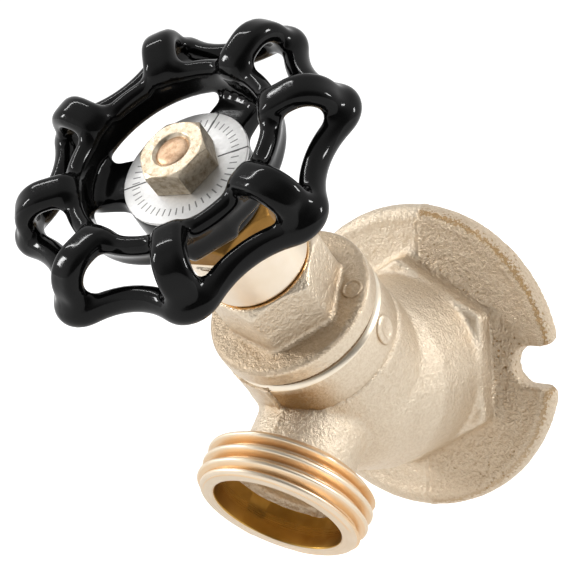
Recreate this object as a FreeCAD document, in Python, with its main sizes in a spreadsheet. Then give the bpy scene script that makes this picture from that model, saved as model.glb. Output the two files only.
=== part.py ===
import FreeCAD, Part
import math
import os
import Sketcher

# Sillcock, millimetres. The origin is the centre of the wall flange's back face, where the supply
# pipe enters. +Y points into the wall, +Z is up, and X = 0 is the plane of symmetry. The stem axis
# leaves the inlet axis at stem_setback in front of the wall and leans stem_tilt forward from +Z.
# Levels that end in _level are distances along the stem axis from that crossing, those that end in
# _reach are distances along the outlet axis from the stem axis, and depths are from the wall.

SIZES = {
    # Axes
    "stem_setback": 23.07,
    "stem_tilt": 45.0,
    "outlet_level": 5.2,
    # Fits
    "thread_clearance": 0.06,
    "running_clearance": 0.06,
    "loose_clearance": 0.1,
    "seat_gap": 0.05,
    # Wall flange with its two open screw slots
    "flange_radius": 25.4,
    "flange_thickness": 4.0,
    "flange_edge_round": 2.2,
    "flange_back_round": 0.5,
    "flange_lip_width": 2.4,
    "flange_lip_height": 0.3,
    "slot_width": 6.4,
    "slot_depth": 7.3,
    "slot_mouth_round": 2.0,
    # Wrench pad, neck and elbow
    "pad_flats": 30.2,
    "pad_turn": 90.0,
    "pad_depth": 8.3,
    "pad_corner_round": 1.2,
    "pad_root_round": 1.6,
    "neck_radius": 14.9,
    "neck_depth": 19.5,
    "neck_end_round": 0.8,
    "neck_shoulder": 4.5,
    "elbow_radius": 13.6,
    # Inlet and the passage under the seat
    "inlet_radius": 9.3,
    "inlet_depth": 13.0,
    "passage_width": 13.0,
    "passage_drop": 7.5,
    "seat_wall": 2.2,
    # Valve chamber
    "chamber_radius": 13.3,
    "chamber_bore": 9.5,
    "collar_radius": 13.0,
    "collar_level": 12.0,
    "rim_level": 19.1,
    "rim_chamfer": 0.5,
    "seat_level": -1.5,
    "seat_height": 1.0,
    "seat_bore": 6.0,
    "seat_land": 7.6,
    # Spout with its hose thread, which starts this far behind the end face
    "spout_radius": 8.6,
    "hose_thread_radius": 13.49,
    "hose_thread_start": 7.1,
    "outlet_reach": 26.8,
    "hose_thread_chamfer": 0.9,
    "hose_thread_runout": 0.9,
    "outlet_radius": 10.2,
    "outlet_depth": 6.8,
    "throat_radius": 6.2,
    "throat_root_radius": 5.6,
    # Bonnet
    "gasket_thickness": 0.9,
    "gasket_radius": 12.4,
    "bonnet_thread_radius": 10.6,
    "bonnet_thread_length": 6.6,
    "bonnet_thread_chamfer": 0.8,
    "bonnet_bore_relief": 1.6,
    "bonnet_flange_radius": 13.15,
    "bonnet_flange_thickness": 3.4,
    "bonnet_flange_round": 0.9,
    "bonnet_flange_foot_round": 0.3,
    "bonnet_flats": 16.7,
    "bonnet_turn": 42.0,
    "bonnet_corner_round": 1.0,
    "bonnet_root_round": 0.8,
    "bonnet_height": 12.5,
    "bonnet_top_radius": 8.2,
    "bonnet_chamfer_drop": 1.3,
    "bonnet_neck_radius": 6.5,
    "bonnet_neck_length": 7.5,
    "backseat_level": 28.5,
    # Packing
    "stuffing_radius": 5.0,
    "stuffing_depth": 6.0,
    "packing_washer_thickness": 0.8,
    "packing_height": 3.6,
    "gland_height": 3.0,
    "gland_flange_thickness": 1.1,
    "gland_flange_radius": 6.0,
    # Packing nut
    "packing_nut_gap": 0.3,
    "packing_nut_radius": 8.0,
    "packing_nut_ceiling": 0.6,
    "packing_nut_head": 4.2,
    "packing_nut_flats": 14.6,
    "packing_nut_turn": 0.0,
    "packing_nut_land_inset": 0.2,
    "packing_nut_foot_chamfer": 0.35,
    # Stem
    "stem_radius": 3.6,
    "stem_thread_radius": 5.44,
    "stem_thread_start": 8.6,
    "stem_thread_top": 22.0,
    "stem_thread_chamfer": 1.0,
    "stem_neck_radius": 2.5,
    "stem_button_radius": 3.1,
    "stem_button_height": 2.0,
    "hub_level": 48.0,
    "stem_square": 5.0,
    "stem_square_turn": 45.0,
    "stem_square_height": 6.5,
    "stem_end_radius": 2.4,
    "stem_end_recess": 0.5,
    # Swivelling disc with its washer and screw
    "washer_thickness": 3.0,
    "washer_radius": 7.0,
    "disc_rim": 0.8,
    "disc_rim_height": 1.5,
    "disc_plate_height": 1.1,
    "disc_edge_round": 0.4,
    "disc_web": 2.0,
    "disc_boss_radius": 4.6,
    "disc_lip": 1.2,
    "screw_radius": 1.6,
    "screw_head_radius": 3.0,
    "screw_head_height": 1.6,
    "screw_head_round": 0.5,
    "screw_slot_width": 0.9,
    "screw_slot_depth": 0.8,
    # Handwheel
    "wheel_turn": 28.0,
    "hub_height": 6.9,
    "hub_radius": 7.6,
    "hub_foot_radius": 6.4,
    "hub_foot_height": 3.4,
    "ring_radius": 14.0,
    "ring_thickness": 1.9,
    "ring_foot_level": 54.4,
    "bead_radius": 1.3,
    "bead_level": 58.35,
    "spoke_count": 3,
    "spoke_turn": 43.5,
    "spoke_width": 7.0,
    "spoke_thickness": 1.8,
    "spoke_root_thickness": 3.7,
    "spoke_bend_round": 0.8,
    "grip_count": 8,
    "grip_radius": 25.0,
    "grip_bend": 3.1,
    "valley_radius": 21.0,
    "rim_rod_radius": 1.7,
    "rim_rod_level": 54.55,
    "leg_width": 4.9,
    "leg_thickness": 2.7,
    "leg_root_rise": 1.5,
    "leg_root_bend": 1.6,
    "leg_crown_level": 61.0,
    "leg_drop_inset": 1.5,
    "leg_drop_bend": 4.0,
    # Label disc and handle nut
    "label_radius": 9.6,
    "label_thickness": 0.5,
    "handle_nut_flats": 9.53,
    "handle_nut_height": 4.05,
    "handle_nut_turn": 5.0,
    "handle_nut_chamfer_slope": 0.5,
    "handle_nut_hole_chamfer": 0.45,
}

FULL_TURN = 360.0
HEX_SIDES = 6
SQUARE_SIDES = 4
NEARLY_HALF = 0.49
BEYOND = 8.0
OVERRUN = 1.0
EDGE_TOLERANCE = 0.001
PLANE_ANGLE_OF_OUTLET = 90.0


class Length:
    """A size of the sheet, or a sum of such sizes, with the expression that names it."""

    def __init__(self, value, text):
        self.value = float(value)
        self.text = text

    @staticmethod
    def of(other):
        if isinstance(other, Length):
            return other
        return Length(other, repr(round(float(other), 9)))

    def __add__(self, other):
        other = Length.of(other)
        return Length(self.value + other.value, "(%s + %s)" % (self.text, other.text))

    def __sub__(self, other):
        other = Length.of(other)
        return Length(self.value - other.value, "(%s - %s)" % (self.text, other.text))

    def __mul__(self, other):
        other = Length.of(other)
        return Length(self.value * other.value, "(%s * %s)" % (self.text, other.text))

    def __truediv__(self, other):
        other = Length.of(other)
        return Length(self.value / other.value, "(%s / %s)" % (self.text, other.text))

    def __neg__(self):
        return Length(-self.value, "(-1 * %s)" % self.text)


class Sheet:
    """The spreadsheet of driving sizes; each of them is read as an attribute."""

    def __init__(self, document, sizes):
        self.sizes = sizes
        self.table = document.addObject("Spreadsheet::Sheet", "Sizes")
        for row, (name, value) in enumerate(sizes.items(), start=1):
            self.table.set("A%d" % row, name.replace("_", " "))
            self.table.set("B%d" % row, repr(value))
            self.table.setAlias("B%d" % row, name)
        document.recompute()

    def __getattr__(self, name):
        sizes = self.__dict__["sizes"]
        if name not in sizes:
            raise AttributeError(name)
        return Length(sizes[name], "Sizes.%s" % name)


document = FreeCAD.newDocument("Sillcock")
size = Sheet(document, SIZES)

# Levels and places that several pieces share

flange_face = size.flange_thickness - size.flange_lip_height
seat_top = size.seat_level
chamber_floor = seat_top - size.seat_height
washer_foot = seat_top + size.seat_gap
washer_top = washer_foot + size.washer_thickness
socket_floor = washer_top + size.disc_web
button_foot = socket_floor + size.loose_clearance
button_top = button_foot + size.stem_button_height
socket_roof = button_top + size.loose_clearance
disc_top = socket_roof + size.disc_lip
bonnet_foot = size.rim_level + size.gasket_thickness
bonnet_flange_top = bonnet_foot + size.bonnet_flange_thickness
bonnet_top = bonnet_foot + size.bonnet_height
bonnet_neck_top = bonnet_top + size.bonnet_neck_length
stuffing_floor = bonnet_neck_top - size.stuffing_depth
packing_foot = stuffing_floor + size.packing_washer_thickness
gland_foot = packing_foot + size.packing_height
gland_top = gland_foot + size.gland_height
packing_nut_foot = bonnet_top + size.packing_nut_gap
packing_nut_shoulder = gland_top + size.packing_nut_ceiling
packing_nut_top = packing_nut_shoulder + size.packing_nut_head
hub_top = size.hub_level + size.hub_height
label_top = hub_top + size.label_thickness
handle_nut_top = label_top + size.handle_nut_height
stem_top = handle_nut_top - size.stem_end_recess
stem_thread_bore = size.stem_thread_radius + size.thread_clearance
stem_bore = size.stem_radius + size.running_clearance


def plane_of(body, role):
    """Find one of a body's own origin planes or axes."""
    for feature in body.Origin.OriginFeatures:
        if feature.Role == role:
            return feature
    raise ValueError(role)


def piece(label, stem_frame=True, turn=None):
    """Start the body of one sub-part, in the casting's frame or along the stem axis."""
    body = document.addObject("PartDesign::Body", label)
    body.Label = label
    if stem_frame:
        lean = "rotation(vector(1; 0; 0); %s)" % size.stem_tilt.text
        if turn is not None:
            lean = "%s * rotation(vector(0; 0; 1); %s)" % (lean, turn.text)
        body.setExpression(
            "Placement", "placement(vector(0; %s; 0); %s)" % ((-size.stem_setback).text, lean)
        )
    return body


def new_sketch(body, name, plane, shift=(0, 0, 0), turn=0, turn_axis=(0, 0, 1)):
    """Attach a sketch to a body's origin plane, shifted and turned within the plane's frame."""
    sketch = body.newObject("Sketcher::SketchObject", name)
    sketch.AttachmentSupport = [(plane_of(body, plane), "")]
    sketch.MapMode = "FlatFace"
    turn = Length.of(turn)
    shift = [Length.of(part) for part in shift]
    sketch.AttachmentOffset = FreeCAD.Placement(
        FreeCAD.Vector(*[part.value for part in shift]),
        FreeCAD.Rotation(FreeCAD.Vector(*turn_axis), turn.value),
    )
    sketch.setExpression(
        "AttachmentOffset",
        "placement(vector(%s; %s; %s); rotation(vector(%d; %d; %d); %s))"
        % (tuple(part.text for part in shift) + tuple(turn_axis) + (turn.text,)),
    )
    return sketch


def bind(sketch, kind, geometry, length):
    """Add one constraint that carries a size, and bind it to the sheet."""
    index = sketch.addConstraint(Sketcher.Constraint(kind, *geometry, length.value))
    sketch.setExpression("Constraints[%d]" % index, length.text)


def place_point(sketch, geometry, point, where):
    """Fix a point of a sketch at (x, y) from the sketch's origin."""
    bind(sketch, "DistanceX", (-1, 1, geometry, point), Length.of(where[0]))
    bind(sketch, "DistanceY", (-1, 1, geometry, point), Length.of(where[1]))


def tangent_arc(before, corner, after, radius):
    """Give the ends and centre of the arc that rounds a corner."""
    to_before = (before - corner).normalize()
    to_after = (after - corner).normalize()
    half_angle = to_before.getAngle(to_after) / 2
    reach = radius / math.tan(half_angle)
    middle = (to_before + to_after).normalize()
    centre = corner + middle * (radius / math.sin(half_angle))
    return corner + to_before * reach, corner + to_after * reach, centre


def add_arc(sketch, start, end, centre):
    """Add the short arc from start to end; tell whether it runs counter-clockwise."""
    first = start - centre
    second = end - centre
    forward = first.x * second.y - first.y * second.x > 0
    if not forward:
        first, second = second, first
    circle = Part.Circle(centre, FreeCAD.Vector(0, 0, 1), first.Length)
    arc = Part.ArcOfCircle(circle, math.atan2(first.y, first.x), math.atan2(second.y, second.x))
    return sketch.addGeometry(arc), forward


def round_corner(sketch, line_in, line_out, corner, entry):
    """Join two lines by an arc that is tangent to both; their corner keeps its bound place."""
    start, end, centre = entry
    mark = sketch.addGeometry(Part.Point(FreeCAD.Vector(corner[0].value, corner[1].value, 0)), True)
    place_point(sketch, mark, 1, corner)
    arc, forward = add_arc(sketch, start, end, centre)
    arc_first, arc_last = (1, 2) if forward else (2, 1)
    sketch.addConstraint(Sketcher.Constraint("PointOnObject", mark, 1, line_in))
    sketch.addConstraint(Sketcher.Constraint("PointOnObject", mark, 1, line_out))
    sketch.addConstraint(Sketcher.Constraint("Tangent", line_in, 2, arc, arc_first))
    sketch.addConstraint(Sketcher.Constraint("Tangent", arc, arc_last, line_out, 1))
    bind(sketch, "Radius", (arc,), corner[2])


def draw_outline(sketch, corners):
    """Draw a closed outline of lines; a corner's third value is the radius that rounds it."""
    corners = [tuple(Length.of(part) for part in corner) for corner in corners]
    points = [FreeCAD.Vector(corner[0].value, corner[1].value, 0) for corner in corners]
    count = len(corners)
    entries = []
    for index, corner in enumerate(corners):
        if len(corner) == 2:
            entries.append((points[index], points[index], None))
            continue
        before = points[index - 1]
        after = points[(index + 1) % count]
        entries.append(tangent_arc(before, points[index], after, corner[2].value))
    lines = []
    for index in range(count):
        start = entries[index][1]
        end = entries[(index + 1) % count][0]
        lines.append(sketch.addGeometry(Part.LineSegment(start, end)))
    for index, corner in enumerate(corners):
        line_in = lines[index - 1]
        line_out = lines[index]
        if entries[index][2] is None:
            sketch.addConstraint(Sketcher.Constraint("Coincident", line_in, 2, line_out, 1))
            place_point(sketch, line_out, 1, corner)
            continue
        round_corner(sketch, line_in, line_out, corner, entries[index])
    return sketch


def draw_circle(sketch, radius, centre=(0, 0)):
    """Draw a circle whose centre and radius are bound."""
    centre = tuple(Length.of(part) for part in centre)
    middle = FreeCAD.Vector(centre[0].value, centre[1].value, 0)
    circle = sketch.addGeometry(Part.Circle(middle, FreeCAD.Vector(0, 0, 1), radius.value))
    place_point(sketch, circle, 3, centre)
    bind(sketch, "Radius", (circle,), radius)
    return sketch


def regular_polygon(across_flats, sides, turn, corner_round=None):
    """List a regular polygon's corners; turn is the first corner's angle in degrees."""
    corner_radius = across_flats / (2 * math.cos(math.pi / sides))
    corners = []
    for side in range(sides):
        angle = math.radians(turn + FULL_TURN * side / sides)
        corner = (corner_radius * math.cos(angle), corner_radius * math.sin(angle))
        if corner_round is not None:
            corner += (corner_round,)
        corners.append(corner)
    return corners


def revolve(body, sketch, name, cut=False, axis="V_Axis"):
    """Turn a sketch all round one of its own axes, as solid or as a cut."""
    kind = "PartDesign::Groove" if cut else "PartDesign::Revolution"
    feature = body.newObject(kind, name)
    feature.Profile = sketch
    feature.ReferenceAxis = (sketch, [axis])
    feature.Angle = FULL_TURN
    sketch.Visibility = False
    body.Tip = feature
    return feature


def extrude(body, sketch, name, length, cut=False, both_ways=False):
    """Push a sketch along its normal, as solid or as a cut."""
    kind = "PartDesign::Pocket" if cut else "PartDesign::Pad"
    feature = body.newObject(kind, name)
    feature.Profile = sketch
    feature.SideType = "Symmetric" if both_ways else "One side"
    feature.setExpression("Length", length.text)
    sketch.Visibility = False
    body.Tip = feature
    return feature


def pattern(body, original, name, count, axis):
    """Repeat a feature evenly round one of the body's axes."""
    feature = body.newObject("PartDesign::PolarPattern", name)
    feature.Originals = [original]
    feature.Axis = (plane_of(body, axis), [""])
    feature.Angle = FULL_TURN
    feature.setExpression("Occurrences", count.text)
    body.Tip = feature
    return feature


def fillet(body, name, radius, chosen):
    """Round the edges of a body's present shape that a test chooses by their place."""
    document.recompute()
    base = body.Tip
    edges = base.Shape.Edges
    names = ["Edge%d" % (index + 1) for index, edge in enumerate(edges) if chosen(edge)]
    feature = body.newObject("PartDesign::Fillet", name)
    feature.Base = (base, names)
    feature.setExpression("Radius", radius.text)
    body.Tip = feature
    return feature


def on_pad_root(edge):
    """Tell whether an edge is part of the line where the wrench pad meets the flange's face."""
    level = -flange_face.value
    box = edge.BoundBox
    reach = max(math.hypot(vertex.X, vertex.Z) for vertex in edge.Vertexes)
    flat = abs(box.YMin - level) < EDGE_TOLERANCE and abs(box.YMax - level) < EDGE_TOLERANCE
    return flat and reach < size.pad_flats.value / math.sqrt(3) + EDGE_TOLERANCE


def on_bonnet_root(edge):
    """Tell whether an edge is part of the line where the hexagon meets the bonnet's flange."""
    level = bonnet_flange_top.value
    box = edge.BoundBox
    reach = max(math.hypot(vertex.X, vertex.Y) for vertex in edge.Vertexes)
    flat = abs(box.ZMin - level) < EDGE_TOLERANCE and abs(box.ZMax - level) < EDGE_TOLERANCE
    return flat and reach < size.bonnet_flats.value / math.sqrt(3) + EDGE_TOLERANCE


def turned(body, name, corners, cut=False):
    """Turn an outline of (radius, level) corners round the body's own Z axis."""
    sketch = draw_outline(new_sketch(body, name + "_outline", "XZ_Plane"), corners)
    return revolve(body, sketch, name, cut=cut)


def stem_plane_sketch(body, name, level=0, plane_turn=0):
    """Sketch in the casting's plane of symmetry, with its Y axis along the stem or the outlet."""
    tilt = math.radians(size.stem_tilt.value)
    level = Length.of(level)
    shift = (-size.stem_setback - level * math.sin(tilt), level * math.cos(tilt), 0)
    return new_sketch(body, name, "YZ_Plane", shift, size.stem_tilt + plane_turn)


def make_valve_body():
    body = piece("valve_body", stem_frame=False)

    flange_front = -size.flange_thickness
    lip_place = size.flange_radius - size.flange_lip_width
    elbow_front = -size.stem_setback - size.elbow_radius
    elbow_round = size.elbow_radius * 2 * NEARLY_HALF
    shell = draw_outline(
        new_sketch(body, "flange_and_neck_outline", "YZ_Plane"),
        [
            (0, 0),
            (0, size.flange_radius, size.flange_back_round),
            (flange_front, size.flange_radius, size.flange_edge_round),
            (flange_front, lip_place),
            (-flange_face, lip_place - size.flange_lip_height),
            (-flange_face, size.neck_radius),
            (-size.neck_depth, size.neck_radius, size.neck_end_round),
            (-size.neck_depth - size.neck_shoulder, size.elbow_radius),
            (elbow_front, size.elbow_radius, elbow_round),
            (elbow_front, 0),
        ],
    )
    revolve(body, shell, "flange_and_neck", axis="H_Axis")

    pad = new_sketch(body, "wrench_pad_outline", "XZ_Plane", (0, 0, flange_face))
    pad_turn = size.pad_turn.value
    draw_outline(pad, regular_polygon(size.pad_flats, HEX_SIDES, pad_turn, size.pad_corner_round))
    extrude(body, pad, "wrench_pad", size.pad_depth - flange_face)
    fillet(body, "pad_root", size.pad_root_round, on_pad_root)

    chamber = draw_outline(
        stem_plane_sketch(body, "chamber_outline"),
        [
            (0, 0),
            (size.chamber_radius, 0),
            (size.chamber_radius, size.collar_level),
            (size.collar_radius, size.collar_level),
            (size.collar_radius, size.rim_level - size.rim_chamfer),
            (size.collar_radius - size.rim_chamfer, size.rim_level),
            (0, size.rim_level),
        ],
    )
    revolve(body, chamber, "chamber")

    thread_start = size.outlet_reach - size.hose_thread_start
    thread_root = thread_start - size.hose_thread_runout
    spout = draw_outline(
        stem_plane_sketch(body, "spout_outline", size.outlet_level, PLANE_ANGLE_OF_OUTLET),
        [
            (0, 0),
            (size.spout_radius, 0),
            (size.spout_radius, thread_root, size.hose_thread_runout),
            (size.hose_thread_radius, thread_start),
            (size.hose_thread_radius, size.outlet_reach - size.hose_thread_chamfer),
            (size.hose_thread_radius - size.hose_thread_chamfer, size.outlet_reach),
            (0, size.outlet_reach),
        ],
    )
    revolve(body, spout, "spout")

    slot_half = size.slot_width / 2
    mouth_half = size.slot_width / 2 + size.slot_mouth_round
    mouth_ratio = mouth_half.value / size.flange_radius.value
    mouth_place = size.flange_radius * math.sqrt(1 - mouth_ratio**2)
    slot_end = size.flange_radius - size.slot_depth
    slot_round = size.slot_width * NEARLY_HALF
    outside = size.flange_radius + BEYOND
    slot = draw_outline(
        new_sketch(body, "screw_slot_outline", "XZ_Plane", (0, 0, -OVERRUN)),
        [
            (slot_end, slot_half, slot_round),
            (slot_end, -slot_half, slot_round),
            (mouth_place, -slot_half, size.slot_mouth_round),
            (mouth_place, -slot_half - BEYOND),
            (outside, -slot_half - BEYOND),
            (outside, slot_half + BEYOND),
            (mouth_place, slot_half + BEYOND),
            (mouth_place, slot_half, size.slot_mouth_round),
        ],
    )
    slot_cut = extrude(body, slot, "screw_slot", size.flange_thickness + 2 * OVERRUN, cut=True)
    slot_cut.Reversed = True
    pattern(body, slot_cut, "screw_slots", Length.of(2), "Y_Axis")

    inlet = draw_outline(
        new_sketch(body, "inlet_outline", "YZ_Plane"),
        [
            (0, 0),
            (0, size.inlet_radius),
            (-size.inlet_depth, size.inlet_radius),
            (-size.inlet_depth, 0),
        ],
    )
    revolve(body, inlet, "inlet", cut=True, axis="H_Axis")

    seat_underside = chamber_floor - size.seat_wall
    passage_mouth = size.stem_setback - size.inlet_depth + size.loose_clearance
    tilt = math.radians(size.stem_tilt.value)
    mouth_low_level = -passage_mouth * math.sin(tilt) - size.passage_drop * math.cos(tilt)
    mouth_low_place = passage_mouth * math.cos(tilt) - size.passage_drop * math.sin(tilt)
    mouth_top_place = (passage_mouth + seat_underside * math.sin(tilt)) / math.cos(tilt)
    passage = draw_outline(
        stem_plane_sketch(body, "passage_outline"),
        [
            (-size.seat_bore - size.loose_clearance, seat_underside),
            (mouth_top_place, seat_underside),
            (mouth_low_place, mouth_low_level),
            (-size.seat_bore - size.loose_clearance, seat_underside - size.seat_wall),
        ],
    )
    extrude(body, passage, "passage", size.passage_width, cut=True, both_ways=True)

    bonnet_bore = size.bonnet_thread_radius + size.thread_clearance
    bonnet_bore_floor = bonnet_foot - size.bonnet_thread_length - size.bonnet_bore_relief
    cavity = draw_outline(
        stem_plane_sketch(body, "chamber_cavity_outline"),
        [
            (0, seat_underside - size.loose_clearance),
            (size.seat_bore, seat_underside - size.loose_clearance),
            (size.seat_bore, seat_top),
            (size.seat_land, seat_top),
            (size.seat_land, chamber_floor),
            (size.chamber_bore, chamber_floor),
            (size.chamber_bore, bonnet_bore_floor),
            (bonnet_bore, bonnet_bore_floor),
            (bonnet_bore, size.rim_level),
            (0, size.rim_level),
        ],
    )
    revolve(body, cavity, "chamber_cavity", cut=True)

    outlet_floor = size.outlet_reach - size.outlet_depth
    throat_start = size.chamber_bore - size.seat_wall
    outlet = draw_outline(
        stem_plane_sketch(body, "outlet_outline", size.outlet_level, PLANE_ANGLE_OF_OUTLET),
        [
            (0, throat_start),
            (size.throat_root_radius, throat_start),
            (size.throat_radius, outlet_floor),
            (size.outlet_radius, outlet_floor),
            (size.outlet_radius, size.outlet_reach),
            (0, size.outlet_reach),
        ],
    )
    revolve(body, outlet, "outlet", cut=True)
    return body


def make_bonnet_gasket():
    body = piece("bonnet_gasket")
    bore = size.bonnet_thread_radius + size.loose_clearance
    turned(
        body,
        "gasket",
        [
            (bore, size.rim_level),
            (size.gasket_radius, size.rim_level),
            (size.gasket_radius, bonnet_foot),
            (bore, bonnet_foot),
        ],
    )
    return body


def make_bonnet():
    body = piece("bonnet")
    thread_foot = bonnet_foot - size.bonnet_thread_length
    turned(
        body,
        "bonnet_shell",
        [
            (stem_thread_bore, thread_foot),
            (size.bonnet_thread_radius - size.bonnet_thread_chamfer, thread_foot),
            (size.bonnet_thread_radius, thread_foot + size.bonnet_thread_chamfer),
            (size.bonnet_thread_radius, bonnet_foot),
            (size.bonnet_flange_radius, bonnet_foot, size.bonnet_flange_foot_round),
            (size.bonnet_flange_radius, bonnet_flange_top, size.bonnet_flange_round),
            (size.bonnet_top_radius, bonnet_flange_top),
            (size.bonnet_top_radius, bonnet_top),
            (size.bonnet_neck_radius, bonnet_top),
            (size.bonnet_neck_radius, bonnet_neck_top),
            (size.stuffing_radius, bonnet_neck_top),
            (size.stuffing_radius, stuffing_floor),
            (stem_bore, stuffing_floor),
            (stem_bore, size.backseat_level),
            (stem_thread_bore, size.backseat_level),
        ],
    )
    hexagon = new_sketch(body, "bonnet_hexagon", "XY_Plane", (0, 0, bonnet_flange_top))
    turn = size.bonnet_turn.value
    corners = regular_polygon(size.bonnet_flats, HEX_SIDES, turn, size.bonnet_corner_round)
    draw_outline(hexagon, corners)
    draw_circle(hexagon, size.bonnet_neck_radius + size.loose_clearance)
    extrude(body, hexagon, "bonnet_flats", bonnet_top - bonnet_flange_top)
    fillet(body, "bonnet_root", size.bonnet_root_round, on_bonnet_root)
    outside = size.bonnet_flats
    slope = size.bonnet_chamfer_drop / (size.bonnet_flats / math.sqrt(3) - size.bonnet_top_radius)
    turned(
        body,
        "bonnet_chamfer",
        [
            (size.bonnet_top_radius, bonnet_top),
            (outside, bonnet_top - slope * (outside - size.bonnet_top_radius)),
            (outside, bonnet_top),
        ],
        cut=True,
    )
    return body


def ring(label, inner, outer, foot, top):
    """Make a plain turned ring along the stem axis."""
    body = piece(label)
    turned(body, label + "_ring", [(inner, foot), (outer, foot), (outer, top), (inner, top)])
    return body


def make_packing_washer():
    outer = size.stuffing_radius - size.running_clearance
    return ring("packing_washer", stem_bore, outer, stuffing_floor, packing_foot)


def make_packing():
    outer = size.stuffing_radius - size.running_clearance
    return ring("packing", stem_bore, outer, packing_foot, gland_foot)


def make_packing_gland():
    body = piece("packing_gland")
    flange_foot = gland_top - size.gland_flange_thickness
    outer = size.stuffing_radius - size.running_clearance
    turned(
        body,
        "gland",
        [
            (stem_bore, gland_foot),
            (outer, gland_foot),
            (outer, flange_foot),
            (size.gland_flange_radius, flange_foot),
            (size.gland_flange_radius, gland_top),
            (stem_bore, gland_top),
        ],
    )
    return body


def make_packing_nut():
    body = piece("packing_nut")
    thread_bore = size.bonnet_neck_radius + size.thread_clearance
    chamfer = size.packing_nut_foot_chamfer
    stem_hole = stem_bore + size.loose_clearance
    turned(
        body,
        "nut_skirt",
        [
            (thread_bore, packing_nut_foot),
            (size.packing_nut_radius - chamfer, packing_nut_foot),
            (size.packing_nut_radius, packing_nut_foot + chamfer),
            (size.packing_nut_radius, packing_nut_shoulder),
            (stem_hole, packing_nut_shoulder),
            (stem_hole, gland_top),
            (thread_bore, gland_top),
        ],
    )
    head = new_sketch(body, "nut_hexagon", "XY_Plane", (0, 0, packing_nut_shoulder))
    draw_outline(head, regular_polygon(size.packing_nut_flats, HEX_SIDES, size.packing_nut_turn.value))
    draw_circle(head, stem_hole)
    extrude(body, head, "nut_flats", size.packing_nut_head)
    outside = size.packing_nut_flats
    land = size.packing_nut_flats / 2 - size.packing_nut_land_inset
    turned(
        body,
        "nut_chamfer",
        [
            (land, packing_nut_top),
            (outside, packing_nut_top - (outside - land)),
            (outside, packing_nut_top),
        ],
        cut=True,
    )
    return body


def make_stem():
    body = piece("stem")
    chamfer = size.stem_thread_chamfer
    turned(
        body,
        "spindle",
        [
            (0, button_foot),
            (size.stem_button_radius, button_foot),
            (size.stem_button_radius, button_top),
            (size.stem_neck_radius, button_top),
            (size.stem_neck_radius, size.stem_thread_start),
            (size.stem_thread_radius - chamfer, size.stem_thread_start),
            (size.stem_thread_radius, size.stem_thread_start + chamfer),
            (size.stem_thread_radius, size.stem_thread_top - chamfer),
            (size.stem_thread_radius - chamfer, size.stem_thread_top),
            (size.stem_radius, size.stem_thread_top),
            (size.stem_radius, size.hub_level),
            (0, size.hub_level),
        ],
    )
    square = new_sketch(body, "square_outline", "XY_Plane", (0, 0, size.hub_level))
    draw_outline(square, regular_polygon(size.stem_square, SQUARE_SIDES, size.stem_square_turn.value))
    extrude(body, square, "square", size.stem_square_height)
    square_top = size.hub_level + size.stem_square_height
    end = new_sketch(body, "threaded_end_outline", "XY_Plane", (0, 0, square_top))
    draw_circle(end, size.stem_end_radius)
    extrude(body, end, "threaded_end", stem_top - square_top)
    return body


def make_disc_holder():
    body = piece("disc_holder")
    bore = size.screw_radius + size.thread_clearance
    pocket = size.washer_radius + size.running_clearance
    rim = pocket + size.disc_rim
    rim_foot = washer_top - size.disc_rim_height
    plate_top = washer_top + size.disc_plate_height
    socket = size.stem_button_radius + size.loose_clearance
    mouth = size.stem_neck_radius + size.loose_clearance
    turned(
        body,
        "disc",
        [
            (bore, washer_top),
            (pocket, washer_top),
            (pocket, rim_foot),
            (rim, rim_foot),
            (rim, plate_top, size.disc_edge_round),
            (size.disc_boss_radius, plate_top),
            (size.disc_boss_radius, disc_top),
            (mouth, disc_top),
            (mouth, socket_roof),
            (socket, socket_roof),
            (socket, socket_floor),
            (bore, socket_floor),
        ],
    )
    return body


def make_seat_washer():
    inner = size.screw_radius + size.running_clearance
    return ring("seat_washer", inner, size.washer_radius, washer_foot, washer_top)


def make_washer_screw():
    body = piece("washer_screw")
    head_foot = washer_foot - size.screw_head_height
    tip = socket_floor - size.loose_clearance
    turned(
        body,
        "screw",
        [
            (0, head_foot),
            (size.screw_head_radius, head_foot, size.screw_head_round),
            (size.screw_head_radius, washer_foot),
            (size.screw_radius, washer_foot),
            (size.screw_radius, tip),
            (0, tip),
        ],
    )
    slot = new_sketch(body, "driver_slot_outline", "XZ_Plane")
    half = size.screw_slot_width / 2
    slot_top = head_foot + size.screw_slot_depth
    below = head_foot - size.screw_slot_depth
    draw_outline(slot, [(-half, below), (half, below), (half, slot_top), (-half, slot_top)])
    extrude(body, slot, "driver_slot", size.screw_head_radius * 2 + BEYOND, cut=True, both_ways=True)
    return body


def grip_wave():
    """Work out the rim rod's tangent bends from the radii of its tips and valleys.

    Round each tip the rod bends outward with grip_bend, and between two tips it bends inward.
    Returned are the distances of both bends' centres from the stem axis, the inward bend's
    radius, and the polar place of the point where the two bends meet. With shallow valleys the
    second bend turns outward too, and its centre and radius are negative.
    """
    half_step = math.pi / size.grip_count.value
    tip_centre = size.grip_radius.value - size.grip_bend.value
    short = size.valley_radius.value - size.grip_bend.value
    valley_centre = (tip_centre**2 - short**2) / (2 * (tip_centre * math.cos(half_step) - short))
    valley_bend = valley_centre - size.valley_radius.value
    share = size.grip_bend.value / (size.grip_bend.value + valley_bend)
    meet_x = tip_centre + (valley_centre * math.cos(half_step) - tip_centre) * share
    meet_y = valley_centre * math.sin(half_step) * share
    meet = (math.hypot(meet_x, meet_y), math.atan2(meet_y, meet_x))
    return tip_centre, valley_centre, valley_bend, meet


def polar(radius, angle):
    """Give the point of a sketch at a radius and an angle in radians."""
    return FreeCAD.Vector(radius * math.cos(angle), radius * math.sin(angle), 0)


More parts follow.
